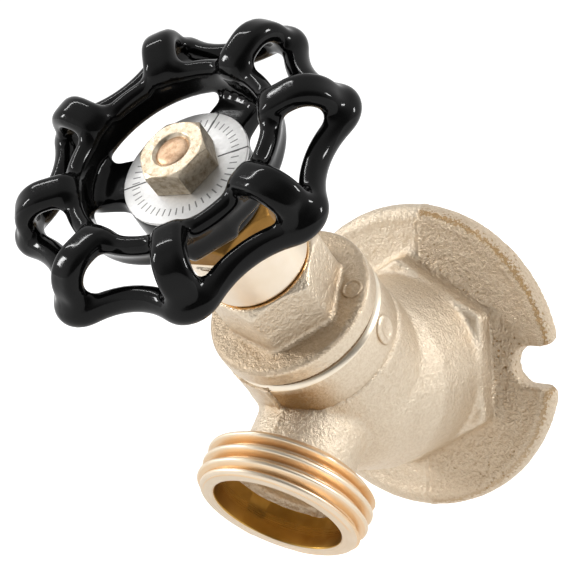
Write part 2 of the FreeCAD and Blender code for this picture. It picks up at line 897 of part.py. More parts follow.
def draw_grip_wave(sketch):
    """Draw the rim rod's centre line as a closed chain of tangent arcs, a tip on the X axis."""
    tip_centre, valley_centre, valley_bend, (meet_radius, meet_angle) = grip_wave()
    step = 2 * math.pi / size.grip_count.value
    bends = []
    for grip in range(int(size.grip_count.value)):
        tip = grip * step
        valley = (grip + 0.5) * step
        bends.append((tip - meet_angle, tip + meet_angle, polar(tip_centre, tip), size.grip_bend))
        next_meet = tip + step - meet_angle
        bends.append(
            (tip + meet_angle, next_meet, polar(valley_centre, valley), Length.of(abs(valley_bend)))
        )
    arcs = []
    for start_angle, end_angle, centre, bend in bends:
        start = polar(meet_radius, start_angle)
        arc, forward = add_arc(sketch, start, polar(meet_radius, end_angle), centre)
        first = 1 if forward else 2
        arcs.append((arc, first))
        place_point(sketch, arc, first, (start.x, start.y))
        bind(sketch, "Radius", (arc,), bend)
    for index, (arc, first) in enumerate(arcs):
        following, following_first = arcs[(index + 1) % len(arcs)]
        joint = Sketcher.Constraint("Coincident", arc, 3 - first, following, following_first)
        sketch.addConstraint(joint)
    return sketch


def draw_path(sketch, corners):
    """Draw an open line through corners; a corner's third value is the radius that rounds it."""
    corners = [tuple(Length.of(part) for part in corner) for corner in corners]
    points = [FreeCAD.Vector(corner[0].value, corner[1].value, 0) for corner in corners]
    last = len(corners) - 1
    entries = [(points[0], points[0], None)]
    for index in range(1, last):
        entries.append(
            tangent_arc(points[index - 1], points[index], points[index + 1], corners[index][2].value)
        )
    entries.append((points[last], points[last], None))
    lines = []
    for index in range(last):
        line = Part.LineSegment(entries[index][1], entries[index + 1][0])
        lines.append(sketch.addGeometry(line))
    place_point(sketch, lines[0], 1, corners[0])
    place_point(sketch, lines[-1], 2, corners[last])
    for index in range(1, last):
        round_corner(sketch, lines[index - 1], lines[index], corners[index], entries[index])
    return sketch


def make_leg(body):
    """Sweep one leg: a flat strap that leaves the ring, arches outward and drops to the rim rod."""
    foot_place = size.ring_radius + size.ring_thickness / 2
    drop_place = size.grip_radius - size.leg_drop_inset
    path = draw_path(
        new_sketch(body, "leg_line", "XZ_Plane"),
        [
            (foot_place, size.bead_level),
            (foot_place, size.bead_level + size.leg_root_rise, size.leg_root_bend),
            (drop_place, size.leg_crown_level, size.leg_drop_bend),
            (drop_place, size.rim_rod_level),
        ],
    )
    section = new_sketch(body, "leg_outline", "XY_Plane", (0, 0, size.bead_level))
    half_width = size.leg_width / 2
    half_thickness = size.leg_thickness / 2
    rounding = size.leg_thickness * NEARLY_HALF
    corners = []
    for along, across in ((-1, -1), (1, -1), (1, 1), (-1, 1)):
        place = foot_place + half_thickness * along
        corners.append((place, half_width * across, rounding))
    draw_outline(section, corners)
    document.recompute()
    leg = body.newObject("PartDesign::AdditivePipe", "leg")
    leg.Profile = section
    leg.Spine = (path, ["Edge%d" % (index + 1) for index in range(len(path.Shape.Edges))])
    body.Tip = leg
    return leg


def make_handwheel():
    body = piece("handwheel", turn=size.wheel_turn)

    turned(
        body,
        "hub",
        [
            (0, size.hub_level),
            (size.hub_foot_radius, size.hub_level),
            (size.hub_radius, size.hub_level + size.hub_foot_height),
            (size.hub_radius, hub_top),
            (0, hub_top),
        ],
    )
    square = new_sketch(body, "square_hole_outline", "XY_Plane", (0, 0, size.hub_level))
    hole_flats = size.stem_square + size.running_clearance * 2
    hole_turn = size.stem_square_turn.value - size.wheel_turn.value
    draw_outline(square, regular_polygon(hole_flats, SQUARE_SIDES, hole_turn))
    hole = extrude(body, square, "square_hole", size.hub_height, cut=True)
    hole.Reversed = True

    ring_outer = size.ring_radius + size.ring_thickness
    spoke_foot = hub_top - size.spoke_thickness
    spoke_root = hub_top - size.spoke_root_thickness
    spoke_end_round = size.spoke_bend_round + size.ring_thickness / 2
    spoke = new_sketch(body, "spoke_outline", "XZ_Plane", turn=size.spoke_turn, turn_axis=(0, 1, 0))
    draw_outline(
        spoke,
        [
            (size.stem_square, spoke_root),
            (ring_outer, spoke_foot, spoke_end_round),
            (ring_outer, size.bead_level),
            (size.ring_radius, size.bead_level),
            (size.ring_radius, hub_top, size.spoke_bend_round),
            (size.stem_square, hub_top),
        ],
    )
    first_spoke = extrude(body, spoke, "spoke", size.spoke_width, both_ways=True)
    pattern(body, first_spoke, "spokes", size.spoke_count, "Z_Axis")

    bead_centre = size.ring_radius + size.bead_radius
    turned(
        body,
        "ring_wall",
        [
            (size.ring_radius, size.ring_foot_level, size.ring_thickness * NEARLY_HALF),
            (ring_outer, size.ring_foot_level, size.ring_thickness * NEARLY_HALF),
            (ring_outer, size.bead_level),
            (size.ring_radius, size.bead_level),
        ],
    )
    bead = new_sketch(body, "bead_outline", "XZ_Plane")
    draw_circle(bead, size.bead_radius, (bead_centre, size.bead_level))
    revolve(body, bead, "bead")

    pattern(body, make_leg(body), "legs", size.grip_count, "Z_Axis")

    path = draw_grip_wave(
        new_sketch(body, "rim_rod_line", "XY_Plane", (0, 0, size.rim_rod_level))
    )
    section = new_sketch(body, "rim_rod_outline", "XZ_Plane")
    draw_circle(section, size.rim_rod_radius, (size.grip_radius, size.rim_rod_level))
    document.recompute()
    rod = body.newObject("PartDesign::AdditivePipe", "rim_rod")
    rod.Profile = section
    rod.Spine = (path, ["Edge%d" % (index + 1) for index in range(len(path.Shape.Edges))])
    body.Tip = rod
    return body


def make_label_disc():
    bore = size.stem_end_radius + size.running_clearance
    return ring("label_disc", bore, size.label_radius, hub_top, label_top)


def make_handle_nut():
    body = piece("handle_nut")
    bore = size.stem_end_radius + size.thread_clearance
    blank = new_sketch(body, "nut_outline", "XY_Plane", (0, 0, label_top))
    draw_outline(blank, regular_polygon(size.handle_nut_flats, HEX_SIDES, size.handle_nut_turn.value))
    draw_circle(blank, bore)
    extrude(body, blank, "nut", size.handle_nut_height)
    outside = size.handle_nut_flats
    land = size.handle_nut_flats / 2
    turned(
        body,
        "nut_top_chamfer",
        [
            (land, handle_nut_top),
            (outside, handle_nut_top - (outside - land) * size.handle_nut_chamfer_slope.value),
            (outside, handle_nut_top),
        ],
        cut=True,
    )
    turned(
        body,
        "nut_hole_chamfer",
        [
            (0, handle_nut_top - size.handle_nut_hole_chamfer),
            (bore, handle_nut_top - size.handle_nut_hole_chamfer),
            (bore + size.handle_nut_hole_chamfer, handle_nut_top),
            (0, handle_nut_top),
        ],
        cut=True,
    )
    return body


def check_and_write(pieces):
    """Refuse any failed object, then write each sub-part's solid to its own file."""
    document.recompute()
    for item in document.Objects:
        if "Invalid" in item.State or "Error" in item.State:
            raise RuntimeError("%s failed: %s" % (item.Name, item.State))
    for body in pieces:
        if body.Shape.isNull() or not body.Shape.isValid() or len(body.Shape.Solids) != 1:
            raise RuntimeError("%s is not one valid solid" % body.Label)
    os.makedirs("parts", exist_ok=True)
    for body in pieces:
        body.Shape.exportStep("parts/%s.step" % body.Label)
        box = body.Shape.BoundBox
        print(
            "%-16s %9.1f mm3  x %.1f..%.1f  y %.1f..%.1f  z %.1f..%.1f"
            % (body.Label, body.Shape.Volume, box.XMin, box.XMax, box.YMin, box.YMax, box.ZMin, box.ZMax)
        )


check_and_write(
    [
        make_valve_body(),
        make_bonnet_gasket(),
        make_bonnet(),
        make_packing_washer(),
        make_packing(),
        make_packing_gland(),
        make_packing_nut(),
        make_stem(),
        make_disc_holder(),
        make_seat_washer(),
        make_washer_screw(),
        make_handwheel(),
        make_label_disc(),
        make_handle_nut(),
    ]
)
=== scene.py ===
"""A wall-mounted sillcock with an inclined stem, dressed as castings, turned brass and enamel.

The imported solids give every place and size. Meshes are shaped in millimetres along one of three
working lines (inlet, stem or outlet) and turned into metres when they are finished. Tones are
screen colours, 0 to 255.
"""
import logging
import math
from dataclasses import dataclass
from enum import Enum
from typing import Callable, Iterable, Optional, Sequence

import bmesh
import bpy
from mathutils import Matrix, Vector, noise


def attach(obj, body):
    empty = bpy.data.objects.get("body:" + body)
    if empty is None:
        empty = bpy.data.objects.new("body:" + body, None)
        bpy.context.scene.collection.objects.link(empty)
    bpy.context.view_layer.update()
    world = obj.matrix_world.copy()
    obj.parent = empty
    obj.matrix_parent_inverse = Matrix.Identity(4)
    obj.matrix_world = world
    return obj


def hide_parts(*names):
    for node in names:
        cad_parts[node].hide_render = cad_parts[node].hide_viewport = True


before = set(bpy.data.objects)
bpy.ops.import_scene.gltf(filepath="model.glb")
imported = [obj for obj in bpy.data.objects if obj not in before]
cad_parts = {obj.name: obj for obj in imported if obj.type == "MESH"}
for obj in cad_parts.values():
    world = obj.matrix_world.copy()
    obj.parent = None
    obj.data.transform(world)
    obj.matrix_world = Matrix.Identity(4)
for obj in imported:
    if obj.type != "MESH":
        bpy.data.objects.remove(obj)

LOG = logging.getLogger("sillcock")
MM = 0.001
THREAD_STEPS = 96
Mesh = bmesh.types.BMesh
Vert = bmesh.types.BMVert
Edge = bmesh.types.BMEdge
Material = bpy.types.Material
Socket = bpy.types.NodeSocket
Triple = tuple[float, float, float]
Outline = Sequence[tuple[float, float]]
Limits = Sequence[tuple[int, float, float, float]]


class Body(Enum):
    """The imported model's bodies that carry new pieces."""

    HOUSING = "housing"
    SPINDLE = "spindle"


class Slot(Enum):
    """The record's material slot names; each new piece is seated with one, though nothing reads it."""

    CAST = "cast_brass"
    TURNED = "turned_brass"
    STEM = "stem_bronze"
    ENAMEL = "black_enamel"
    LABEL = "label_aluminium"
    NUT = "nut_nickel"


@dataclass(frozen=True)
class WorkLine:
    """A line to turn pieces about, leaning forward from straight up in the plane of symmetry.

    Attributes:
        place: the line's start, in millimetres.
        lean: the angle from +Z towards -Y, in degrees.
    """

    place: Triple
    lean: float

    def matrix(self) -> Matrix:
        """Return the turn and shift from the line's own frame to the row's frame."""
        return Matrix.Translation(self.place) @ Matrix.Rotation(math.radians(self.lean), 4, "X")


ROW = WorkLine((0.0, 0.0, 0.0), 0.0)
STEM = WorkLine((0.0, -23.07, 0.0), 45.0)
OUTLET = WorkLine((0.0, -26.747, 3.677), 135.0)
INLET = WorkLine((0.0, 0.0, 0.0), 90.0)


def tone(red: float, green: float, blue: float) -> Triple:
    """Turn a screen colour into a linear one."""
    parts = [part / 255 for part in (red, green, blue)]
    return tuple(p / 12.92 if p <= 0.04045 else ((p + 0.055) / 1.055) ** 2.4 for p in parts)


def opaque(value: object) -> object:
    """Add the alpha to a plain colour, and leave a socket or a number as it is."""
    return (*value, 1.0) if isinstance(value, tuple) and len(value) == 3 else value


def ease(low: float, high: float, value: float) -> float:
    """Rise smoothly from 0 at low to 1 at high."""
    share = min(max((value - low) / (high - low), 0.0), 1.0)
    return share * share * (3 - 2 * share)


def wobble(point: Vector, size: float, seed: float = 0.0) -> float:
    """Read smooth noise, about -1 to 1, with bumps of that size; the seed gives another pattern."""
    return noise.noise(Vector((point.x / size + seed, point.y / size - seed, point.z / size)))


def uneven(point: Vector, layers: Sequence[Triple]) -> float:
    """Add up layers of noise, each given as its height, the size of its bumps and its seed."""
    return sum(height * wobble(point, size, seed) for height, size, seed in layers)


def ridge(offset: float, width: float) -> float:
    """Give a rounded ridge's share of its height at an offset from its line."""
    return math.exp(-((offset / width) ** 2))


def span(point: Vector) -> float:
    """Give a point's distance from the Z axis."""
    return math.hypot(point.x, point.y)


def drawn(point: Vector, radius: float, level: float) -> Vector:
    """Move a point in or out to a radius about the Z axis, and to a level."""
    old = span(point)
    return Vector((point.x * radius / old, point.y * radius / old, level))


def about(radius: float, level: float, *steps: tuple[float, float]) -> list[tuple[float, float]]:
    """Give an outline's corners as steps out and up from one place."""
    return [(radius + out, level + up) for out, up in steps]


class NodeTree:
    """A node tree with the few calls that the finishes and the sky share."""

    def __init__(self, tree: bpy.types.NodeTree) -> None:
        """Keep the tree that the nodes go into."""
        self.tree = tree

    def add(self, kind: str, inputs: Optional[dict] = None, **settings: object) -> bpy.types.Node:
        """Add a node, set its options, and fill or link its inputs.

        Args:
            kind: the node's type name.
            inputs: values or output sockets by input name or index.
            settings: the node's own options.

        Returns:
            The node.
        """
        node = self.tree.nodes.new(kind)
        for option, value in settings.items():
            setattr(node, option, value)
        for key, value in (inputs or {}).items():
            self.feed(node.inputs[key], value)
        return node

    def feed(self, target: Socket, value: object) -> None:
        """Link a socket to an output, or set its value.

        Args:
            target: the input socket.
            value: an output socket or a plain value.
        """
        if isinstance(value, Socket):
            self.tree.links.new(value, target)
        else:
            target.default_value = value

    def split(self, vector: Socket) -> Sequence[Socket]:
        """Give a vector's three parts."""
        return self.add("ShaderNodeSeparateXYZ", {0: vector}).outputs

    def maths(self, operation: str, *values: object) -> Socket:
        """Do one sum on numbers or sockets."""
        return self.add("ShaderNodeMath", dict(enumerate(values)), operation=operation).outputs[0]

    def span(self, first: Socket, second: Socket) -> Socket:
        """Give the distance from a line, from the two coordinates square to it."""
        square = self.maths("MULTIPLY", first, first)
        return self.maths("SQRT", self.maths("MULTIPLY_ADD", second, second, square))

    def spread(
        self, value: object, low: float, high: float, start: float = 0.0, end: float = 1.0
    ) -> Socket:
        """Map the values from low to high smoothly on to start to end."""
        inputs = {"Value": value, "From Min": low, "From Max": high, "To Min": start, "To Max": end}
        return self.add("ShaderNodeMapRange", inputs, interpolation_type="SMOOTHSTEP").outputs[0]

    def within(self, axes: Sequence[Socket], limits: Limits) -> object:
        """Tell how far a place lies within limits.

        Args:
            axes: the place's three coordinates.
            limits: each an axis, the values where it starts and is full, and what it gives before.

        Returns:
            The product of the limits, 0 to 1.
        """
        share: object = 1.0
        for axis, start, full, least in limits:
            share = self.maths("MULTIPLY", share, self.spread(axes[axis], start, full, least))
        return share

    def stack(self, base: object, *layers: tuple[object, float]) -> object:
        """Add layers to a base.

        Args:
            base: the value to add to.
            layers: each a value and its share.

        Returns:
            The sum.
        """
        for layer, share in layers:
            base = self.maths("MULTIPLY_ADD", layer, share, base)
        return base


class Shader(NodeTree):
    """A material's nodes round one Principled surface."""

    def __init__(self, name: str) -> None:
        """Start the material.

        Args:
            name: the material's name.
        """
        self.material = bpy.data.materials.new(name)
        self.material.use_nodes = True
        super().__init__(self.material.node_tree)
        self.surface = self.tree.nodes["Principled BSDF"]

    def place(self, line: WorkLine = ROW) -> Socket:
        """Give object coordinates in millimetres in a working line's frame.

        Args:
            line: the working line.

        Returns:
            The vector socket.
        """
        turn = Matrix.Rotation(-math.radians(line.lean), 4, "X")
        inputs = {
            "Vector": self.add("ShaderNodeTexCoord").outputs["Object"],
            "Location": -(turn @ Vector(line.place)),
            "Rotation": (-math.radians(line.lean), 0.0, 0.0),
            "Scale": (1 / MM, 1 / MM, 1 / MM),
        }
        return self.add("ShaderNodeMapping", inputs, vector_type="POINT").outputs[0]

    def grain(self, vector: Socket, scale: float, detail: float, rough: float) -> Socket:
        """Read noise, 0 to 1: its bumps per millimetre, its finer layers and the share of each."""
        inputs = {"Vector": vector, "Scale": scale, "Detail": detail, "Roughness": rough}
        return self.add("ShaderNodeTexNoise", inputs).outputs[0]

    def blend(self, share: object, first: object, second: object) -> Socket:
        """Mix two linear colours, with that share of the second."""
        inputs = {0: share, 6: opaque(first), 7: opaque(second)}
        return self.add("ShaderNodeMix", inputs, data_type="RGBA").outputs[2]

    def relief(self, height: object, depth: float) -> None:
        """Give the surface fine relief, where a height of 1 stands for depth in millimetres."""
        bump = self.add("ShaderNodeBump", {"Height": height, "Distance": depth * MM, "Strength": 1.0})
        self.feed(self.surface.inputs["Normal"], bump.outputs[0])

    def set(self, **values: object) -> None:
        """Set or link inputs of the surface, with spaces written as underscores."""
        for name, value in values.items():
            self.feed(self.surface.inputs[name.replace("_", " ")], opaque(value))


@dataclass(frozen=True)
class SandCastBrass:
    """Tumbled sand-cast brass: pale satin metal with sand grain and scattered pits.

    The wall flange's face is coarser on the +X mould half. Places are in millimetres, and the
    noises are given as bumps per millimetre, finer layers and the share of each.
    """

    name: str = "sand_cast_brass"
    light: Triple = (230, 215, 193)
    deep: Triple = (178, 146, 104)
    grain_depth: float = 0.24
    roughness: float = 0.4
    metal: float = 0.92
    # Painted shade and reflection on a patch of the collar past the seam, and how strong it is.
    stain_and_shade: float = 0.0
    # Painted shade in creases and corners from ambient occlusion: its strength and its reach in
    # millimetres.
    crease_shade: float = 0.75
    crease_shade_reach: float = 2.2
    # The painted shadow line at the step inside the flange's rim: its radius and how far it wanders.
    rim_shadow_radius: float = 25.7
    rim_shadow_wander: float = 2.4
    coarse_half: Limits = (
        (0, 1.6, 2.6, 0.0),
        (1, -5.2, -4.2, 0.0),
        (1, -0.25, -0.55, 0.0),
        (2, -14.0, 2.0, 0.6),
    )
    # Where that painted shade and reflection lies, in the stem's frame.
    seam_shade_zone: Limits = (
        (0, -0.8, 0.4, 0.0),
        (0, 10.0, 2.5, 0.0),
        (1, -5.0, -10.5, 0.0),
        (2, 18.4, 17.0, 0.0),
    )
    sand: Triple = (2.1, 3.0, 0.62)
    fine: Triple = (4.6, 3.0, 0.6)
    lumps: Triple = (0.7, 2.0, 0.5)
    patches: Triple = (0.16, 2.0, 0.5)
    pits_per_mm: float = 1.2

    def make(self) -> Material:
        """Build the material."""
        shader = Shader(self.name)
        spot = shader.place()
        axes = shader.split(spot)
        coarse = shader.within(axes, self.coarse_half)
        sand = shader.grain(spot, *self.sand)
        fine = shader.grain(spot, *self.fine)
        lumps = shader.grain(spot, *self.lumps)
        pits = self.pits(shader, spot, coarse)
        height = shader.maths("MULTIPLY", sand, shader.spread(coarse, 0.0, 1.0, 1.0, 2.2))
        height = shader.stack(height, (fine, 0.3), (lumps, 0.7), (pits, -0.5))
        # Ambient occlusion darkens the colour in creases and corners: painted shade.
        crease_shade = shader.add("ShaderNodeAmbientOcclusion", {"Distance": self.crease_shade_reach * MM}, samples=6)
        shade = shader.stack(
            shader.spread(sand, 0.36, 0.62, 0.22, 0.0),
            (coarse, 0.2),
            (pits, 0.45),
            (self.rim_shadow_line(shader, axes, sand, coarse), 0.7),
            (shader.spread(crease_shade.outputs["AO"], 0.9, 0.4), self.crease_shade),
        )
        # Painted shade and reflection: darken a patch of the collar past the seam.
        if self.stain_and_shade:
            stem_axes = shader.split(shader.place(STEM))
            shade = shader.stack(shade, (shader.within(stem_axes, self.seam_shade_zone), self.stain_and_shade))
        shader.set(
            Base_Color=shader.blend(shade, tone(*self.light), tone(*self.deep)),
            Metallic=self.metal,
            Roughness=shader.spread(fine, 0.3, 0.7, self.roughness - 0.07, self.roughness + 0.08),
        )
        shader.relief(height, self.grain_depth)
        return shader.material

    def pits(self, shader: Shader, spot: Socket, coarse: Socket) -> Socket:
        """Scatter pits in patches, with more of them on the coarse half.

        Args:
            shader: the material's nodes.
            spot: the place.
            coarse: how coarse the casting is there, 0 to 1.

        Returns:
            The pits' strength.
        """
        inputs = {"Vector": spot, "Scale": self.pits_per_mm}
        cells = shader.add("ShaderNodeTexVoronoi", inputs, feature="F1")
        patches = shader.grain(spot, *self.patches)
        pits = shader.spread(cells.outputs["Distance"], 0.1, 0.36, 1.0, 0.0)
        pits = shader.maths("MULTIPLY", pits, shader.spread(patches, 0.5, 0.62, 0.1, 1.0))
        return shader.maths("MULTIPLY", pits, shader.spread(coarse, 0.0, 1.0, 0.3, 1.4))

    def rim_shadow_line(self, shader: Shader, axes: Sequence[Socket], sand: Socket, coarse: Socket) -> Socket:
        """Paint the ragged shadow line at the step between the coarse half and the flange's smooth rim.

        Args:
            shader: the material's nodes.
            axes: the place's three coordinates.
            sand: the sand grain, which the line follows.
            coarse: how coarse the casting is there, 0 to 1.

        Returns:
            The line's strength, 0 to 1.
        """
        ragged = shader.maths("MULTIPLY_ADD", sand, self.rim_shadow_wander, shader.span(axes[0], axes[2]))
        off = shader.maths("ABSOLUTE", shader.maths("SUBTRACT", ragged, self.rim_shadow_radius))
        return shader.maths("MULTIPLY", shader.spread(off, 0.12, 0.5, 1.0, 0.0), coarse)


@dataclass(frozen=True)
class TurnedBrass:
    """Brass off the lathe: fine rings about a line, with the deeper tone towards deep_radius."""

    name: str
    line: WorkLine
    light: Triple = (244, 230, 206)
    deep: Triple = (214, 172, 112)
    roughness: float = 0.26
    ring_depth: float = 0.012
    light_radius: float = 0.0
    deep_radius: float = -1.0
    rings: Triple = (4.5, 3.0, 0.7)
    cloud: Triple = (0.35, 2.0, 0.5)

    def make(self) -> Material:
        """Build the material."""
        shader = Shader(self.name)
        axes = shader.split(shader.place(self.line))
        radius = shader.span(axes[0], axes[1])
        across = shader.add("ShaderNodeCombineXYZ", {0: axes[2], 1: radius}).outputs[0]
        rings = shader.grain(across, *self.rings)
        share = shader.spread(shader.grain(shader.place(), *self.cloud), 0.3, 0.75, 0.0, 0.35)
        if self.deep_radius > 0:
            slope = shader.spread(radius, self.light_radius, self.deep_radius)
            share = shader.maths("MAXIMUM", share, slope)
        shader.set(
            Base_Color=shader.blend(share, tone(*self.light), tone(*self.deep)),
            Metallic=1.0,
            Roughness=shader.spread(rings, 0.3, 0.7, self.roughness - 0.05, self.roughness + 0.07),
            Anisotropic=0.35,
        )
        shader.relief(rings, self.ring_depth)
        return shader.material


@dataclass(frozen=True)
class GlossEnamel:
    """Thick black dipped enamel, nearly a mirror, with a faint flow in it."""

    name: str = "black_gloss_enamel"
    black: Triple = (7, 7, 7)
    sheen: Triple = (11, 11, 11)
    flow: Triple = (0.22, 2.0, 0.4)
    dust: Triple = (3.0, 2.0, 0.5)

    def make(self) -> Material:
        """Build the material."""
        shader = Shader(self.name)
        spot = shader.place()
        flow = shader.grain(spot, *self.flow)
        shader.set(
            Base_Color=shader.blend(flow, tone(*self.black), tone(*self.sheen)),
            Roughness=shader.spread(shader.grain(spot, *self.dust), 0.35, 0.75, 0.07, 0.14),
            Specular_IOR_Level=0.19,
        )
        shader.relief(flow, 0.05)
        return shader.material


@dataclass(frozen=True)
class PrintedLabel:
    """Pale satin aluminium with thin printed spokes and a ring of fine ticks."""

    name: str = "label_satin_aluminium"
    light: Triple = (229, 228, 226)
    deep: Triple = (220, 219, 217)
    ink: Triple = (74, 72, 70)
    spokes: tuple[float, ...] = (205.5, 81.6, 23.3)
    spoke_start: float = 5.0
    ink_width: float = 0.13
    tick_step: float = 7.5
    tick_width: float = 0.8
    tick_ink: float = 0.75
    tick_start: float = 7.1
    tick_end: float = 8.3
    brush: Triple = (1.6, 3.0, 0.6)

    def make(self) -> Material:
        """Build the material in the stem's frame."""
        shader = Shader(self.name)
        spot = shader.place(STEM)
        axes = shader.split(spot)
        ink = shader.maths("MULTIPLY", self.ticks(shader, axes), self.tick_ink)
        for angle in self.spokes:
            ink = shader.maths("MAXIMUM", self.spoke(shader, axes, math.radians(angle)), ink)
        brush = shader.grain(spot, *self.brush)
        metal = shader.blend(shader.spread(brush, 0.3, 0.7), tone(*self.light), tone(*self.deep))
        shader.set(
            Base_Color=shader.blend(ink, metal, tone(*self.ink)),
            Metallic=shader.maths("MULTIPLY_ADD", ink, -0.8, 0.8),
            Roughness=shader.spread(brush, 0.3, 0.7, 0.36, 0.44),
        )
        shader.relief(brush, 0.002)
        return shader.material

    def spoke(self, shader: Shader, axes: Sequence[Socket], angle: float) -> Socket:
        """Print one spoke.

        Args:
            shader: the material's nodes.
            axes: the place's three coordinates.
            angle: the spoke's angle from +X, in radians.

        Returns:
            The ink, 0 or 1.
        """
        cos, sin = math.cos(angle), math.sin(angle)
        along = shader.maths("MULTIPLY_ADD", axes[1], sin, shader.maths("MULTIPLY", axes[0], cos))
        across = shader.maths("MULTIPLY_ADD", axes[1], -cos, shader.maths("MULTIPLY", axes[0], sin))
        line = shader.maths("LESS_THAN", shader.maths("ABSOLUTE", across), self.ink_width)
        return shader.maths("MULTIPLY", line, shader.maths("GREATER_THAN", along, self.spoke_start))

    def ticks(self, shader: Shader, axes: Sequence[Socket]) -> Socket:
        """Print the ring of ticks.

        Args:
            shader: the material's nodes.
            axes: the place's three coordinates.

        Returns:
            The ink, 0 or 1.
        """
        radius = shader.span(axes[0], axes[1])
        angle = shader.maths("DEGREES", shader.maths("ARCTAN2", axes[1], axes[0]))
        off = shader.maths("RADIANS", shader.maths("PINGPONG", angle, self.tick_step / 2))
        arc = shader.maths("MULTIPLY", off, radius)
        tick = shader.maths("LESS_THAN", arc, self.ink_width * self.tick_width)
        tick = shader.maths("MULTIPLY", tick, shader.maths("GREATER_THAN", radius, self.tick_start))
        return shader.maths("MULTIPLY", tick, shader.maths("LESS_THAN", radius, self.tick_end))


@dataclass(frozen=True)
class MottledPlate:
    """Thin uneven plating over brass, as on the handle nut and the stem's end."""

    name: str
    light: Triple
    deep: Triple
    roughness: float = 0.34
    grain_depth: float = 0.014
    stain_and_shade: Triple = (1.1, 4.0, 0.65)
    fine: Triple = (4.5, 3.0, 0.6)

    def make(self) -> Material:
        """Build the material."""
        shader = Shader(self.name)
        spot = shader.place()
        stain_and_shade = shader.spread(shader.grain(spot, *self.stain_and_shade), 0.4, 0.68)
        fine = shader.grain(spot, *self.fine)
        shader.set(
            Base_Color=shader.blend(stain_and_shade, tone(*self.light), tone(*self.deep)),
            Metallic=1.0,
            Roughness=shader.spread(fine, 0.3, 0.7, self.roughness - 0.07, self.roughness + 0.12),
        )
        shader.relief(fine, self.grain_depth)
        return shader.material


@dataclass(frozen=True)
class MattSeal:
    """Matt rubber or pressed fibre."""

    name: str
    light: Triple
    deep: Triple
    roughness: float = 0.75
    fibre: Triple = (3.0, 4.0, 0.7)

    def make(self) -> Material:
        """Build the material."""
        shader = Shader(self.name)
        fibre = shader.grain(shader.place(), *self.fibre)
        share = shader.spread(fibre, 0.3, 0.7)
        shader.set(
            Base_Color=shader.blend(share, tone(*self.deep), tone(*self.light)),
            Roughness=self.roughness,
        )
        shader.relief(fibre, 0.03)
        return shader.material


class Finishes:
    """Every finish of the object, made once."""

    def __init__(self) -> None:
        """Build the materials."""
        self.cast = SandCastBrass().make()
        # A darker copy of the cast brass for the bonnet's flange and its round mark: painted shade.
        self.shaded_flange_brass = SandCastBrass("bonnet_brass_painted_shade", (204, 185, 160), (152, 124, 88)).make()
        # The collar and boss brass, with painted shade and reflection on a patch past the seam.
        self.fine_cast = SandCastBrass("fine_cast_brass", grain_depth=0.13, stain_and_shade=0.9).make()
        self.rim = TurnedBrass("turned_brass_rim", STEM, (248, 236, 216), (232, 212, 182), 0.34).make()
        self.hose = TurnedBrass(
            "turned_brass_thread",
            OUTLET,
            (240, 226, 204),
            (238, 209, 172),
            0.38,
            light_radius=13.42,
            deep_radius=13.05,
        ).make()
        self.hose_face = TurnedBrass(
            "turned_brass_face", OUTLET, (234, 218, 196), (226, 204, 174), 0.42
        ).make()
        self.bore = TurnedBrass(
            "turned_brass_bore", OUTLET, (206, 164, 86), (162, 116, 36), 0.31, ring_depth=0.004
        ).make()
        self.nut_skirt = TurnedBrass(
            "turned_brass_cover", STEM, (246, 232, 212), (236, 216, 188), 0.34
        ).make()
        self.gold_edge = TurnedBrass(
            "turned_brass_edge", STEM, (236, 196, 134), (218, 170, 100), 0.34
        ).make()
        # Darker brass for the cover nut's hexagon: painted shade and dark reflection under the wheel.
        self.shaded_hex_brass = TurnedBrass("shaded_hex_brass", STEM, (150, 112, 58), (106, 74, 30), 0.45).make()
        self.inside = TurnedBrass("turned_brass_inside", STEM).make()
        self.inlet = TurnedBrass("turned_brass_inlet", INLET).make()
        self.enamel = GlossEnamel().make()
        self.label = PrintedLabel().make()
        self.nut = MottledPlate("handle_nut_plating", (218, 204, 182), (178, 158, 130)).make()
        self.stem = MottledPlate("stem_bronze", (222, 190, 158), (192, 154, 122), 0.4, 0.03).make()
        self.rubber = MattSeal("seal_rubber", (52, 50, 48), (34, 33, 32)).make()
        self.fibre = MattSeal("gasket_fibre", (140, 112, 78), (96, 74, 48)).make()


def stored(name: str, mesh: Mesh) -> bpy.types.Mesh:
    """Keep a mesh as Blender's data and free it.

    Args:
        name: the data's name.
        mesh: the mesh; it is freed.

    Returns:
        The data.
    """
    data = bpy.data.meshes.new(name)
    mesh.to_mesh(data)
    mesh.free()
    return data


def linked(name: str, data: bpy.types.ID) -> bpy.types.Object:
    """Make an object in the scene.

    Args:
        name: the object's name.
        data: its mesh, lamp or camera data.

    Returns:
        The object.
    """
    made = bpy.data.objects.new(name, data)
    bpy.context.scene.collection.objects.link(made)
    return made


def node_solid(node: str) -> Mesh:
    """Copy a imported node's mesh, in millimetres, with its loose triangles merged.

    Args:
        node: the node's name.

    Returns:
        The copy.
    """
    mesh = bmesh.new()
    mesh.from_mesh(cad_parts[node].data)
    bmesh.ops.scale(mesh, vec=(1 / MM, 1 / MM, 1 / MM), verts=mesh.verts)
    bmesh.ops.remove_doubles(mesh, verts=mesh.verts, dist=0.002)
    return mesh


def remeshed(solid: Mesh, voxel: float, rounds: int) -> Mesh:
    """Rebuild a closed mesh on an even grid and relax it, which rounds its edges and joints.

    Args:
        solid: the mesh, in millimetres; it is freed.
        voxel: the grid's step, in millimetres.
        rounds: how many times the result is relaxed.

    Returns:
        The new mesh.
    """
    data = stored("voxels", solid)
    holder = linked("voxels", data)
    modifier = holder.modifiers.new("voxels", "REMESH")
    modifier.mode = "VOXEL"
    modifier.voxel_size = voxel
    grid = bpy.context.evaluated_depsgraph_get()
    result = bmesh.new()
    result.from_mesh(holder.evaluated_get(grid).to_mesh())
    bpy.data.objects.remove(holder)
    bpy.data.meshes.remove(data)
    relax(result, rounds)
    return result


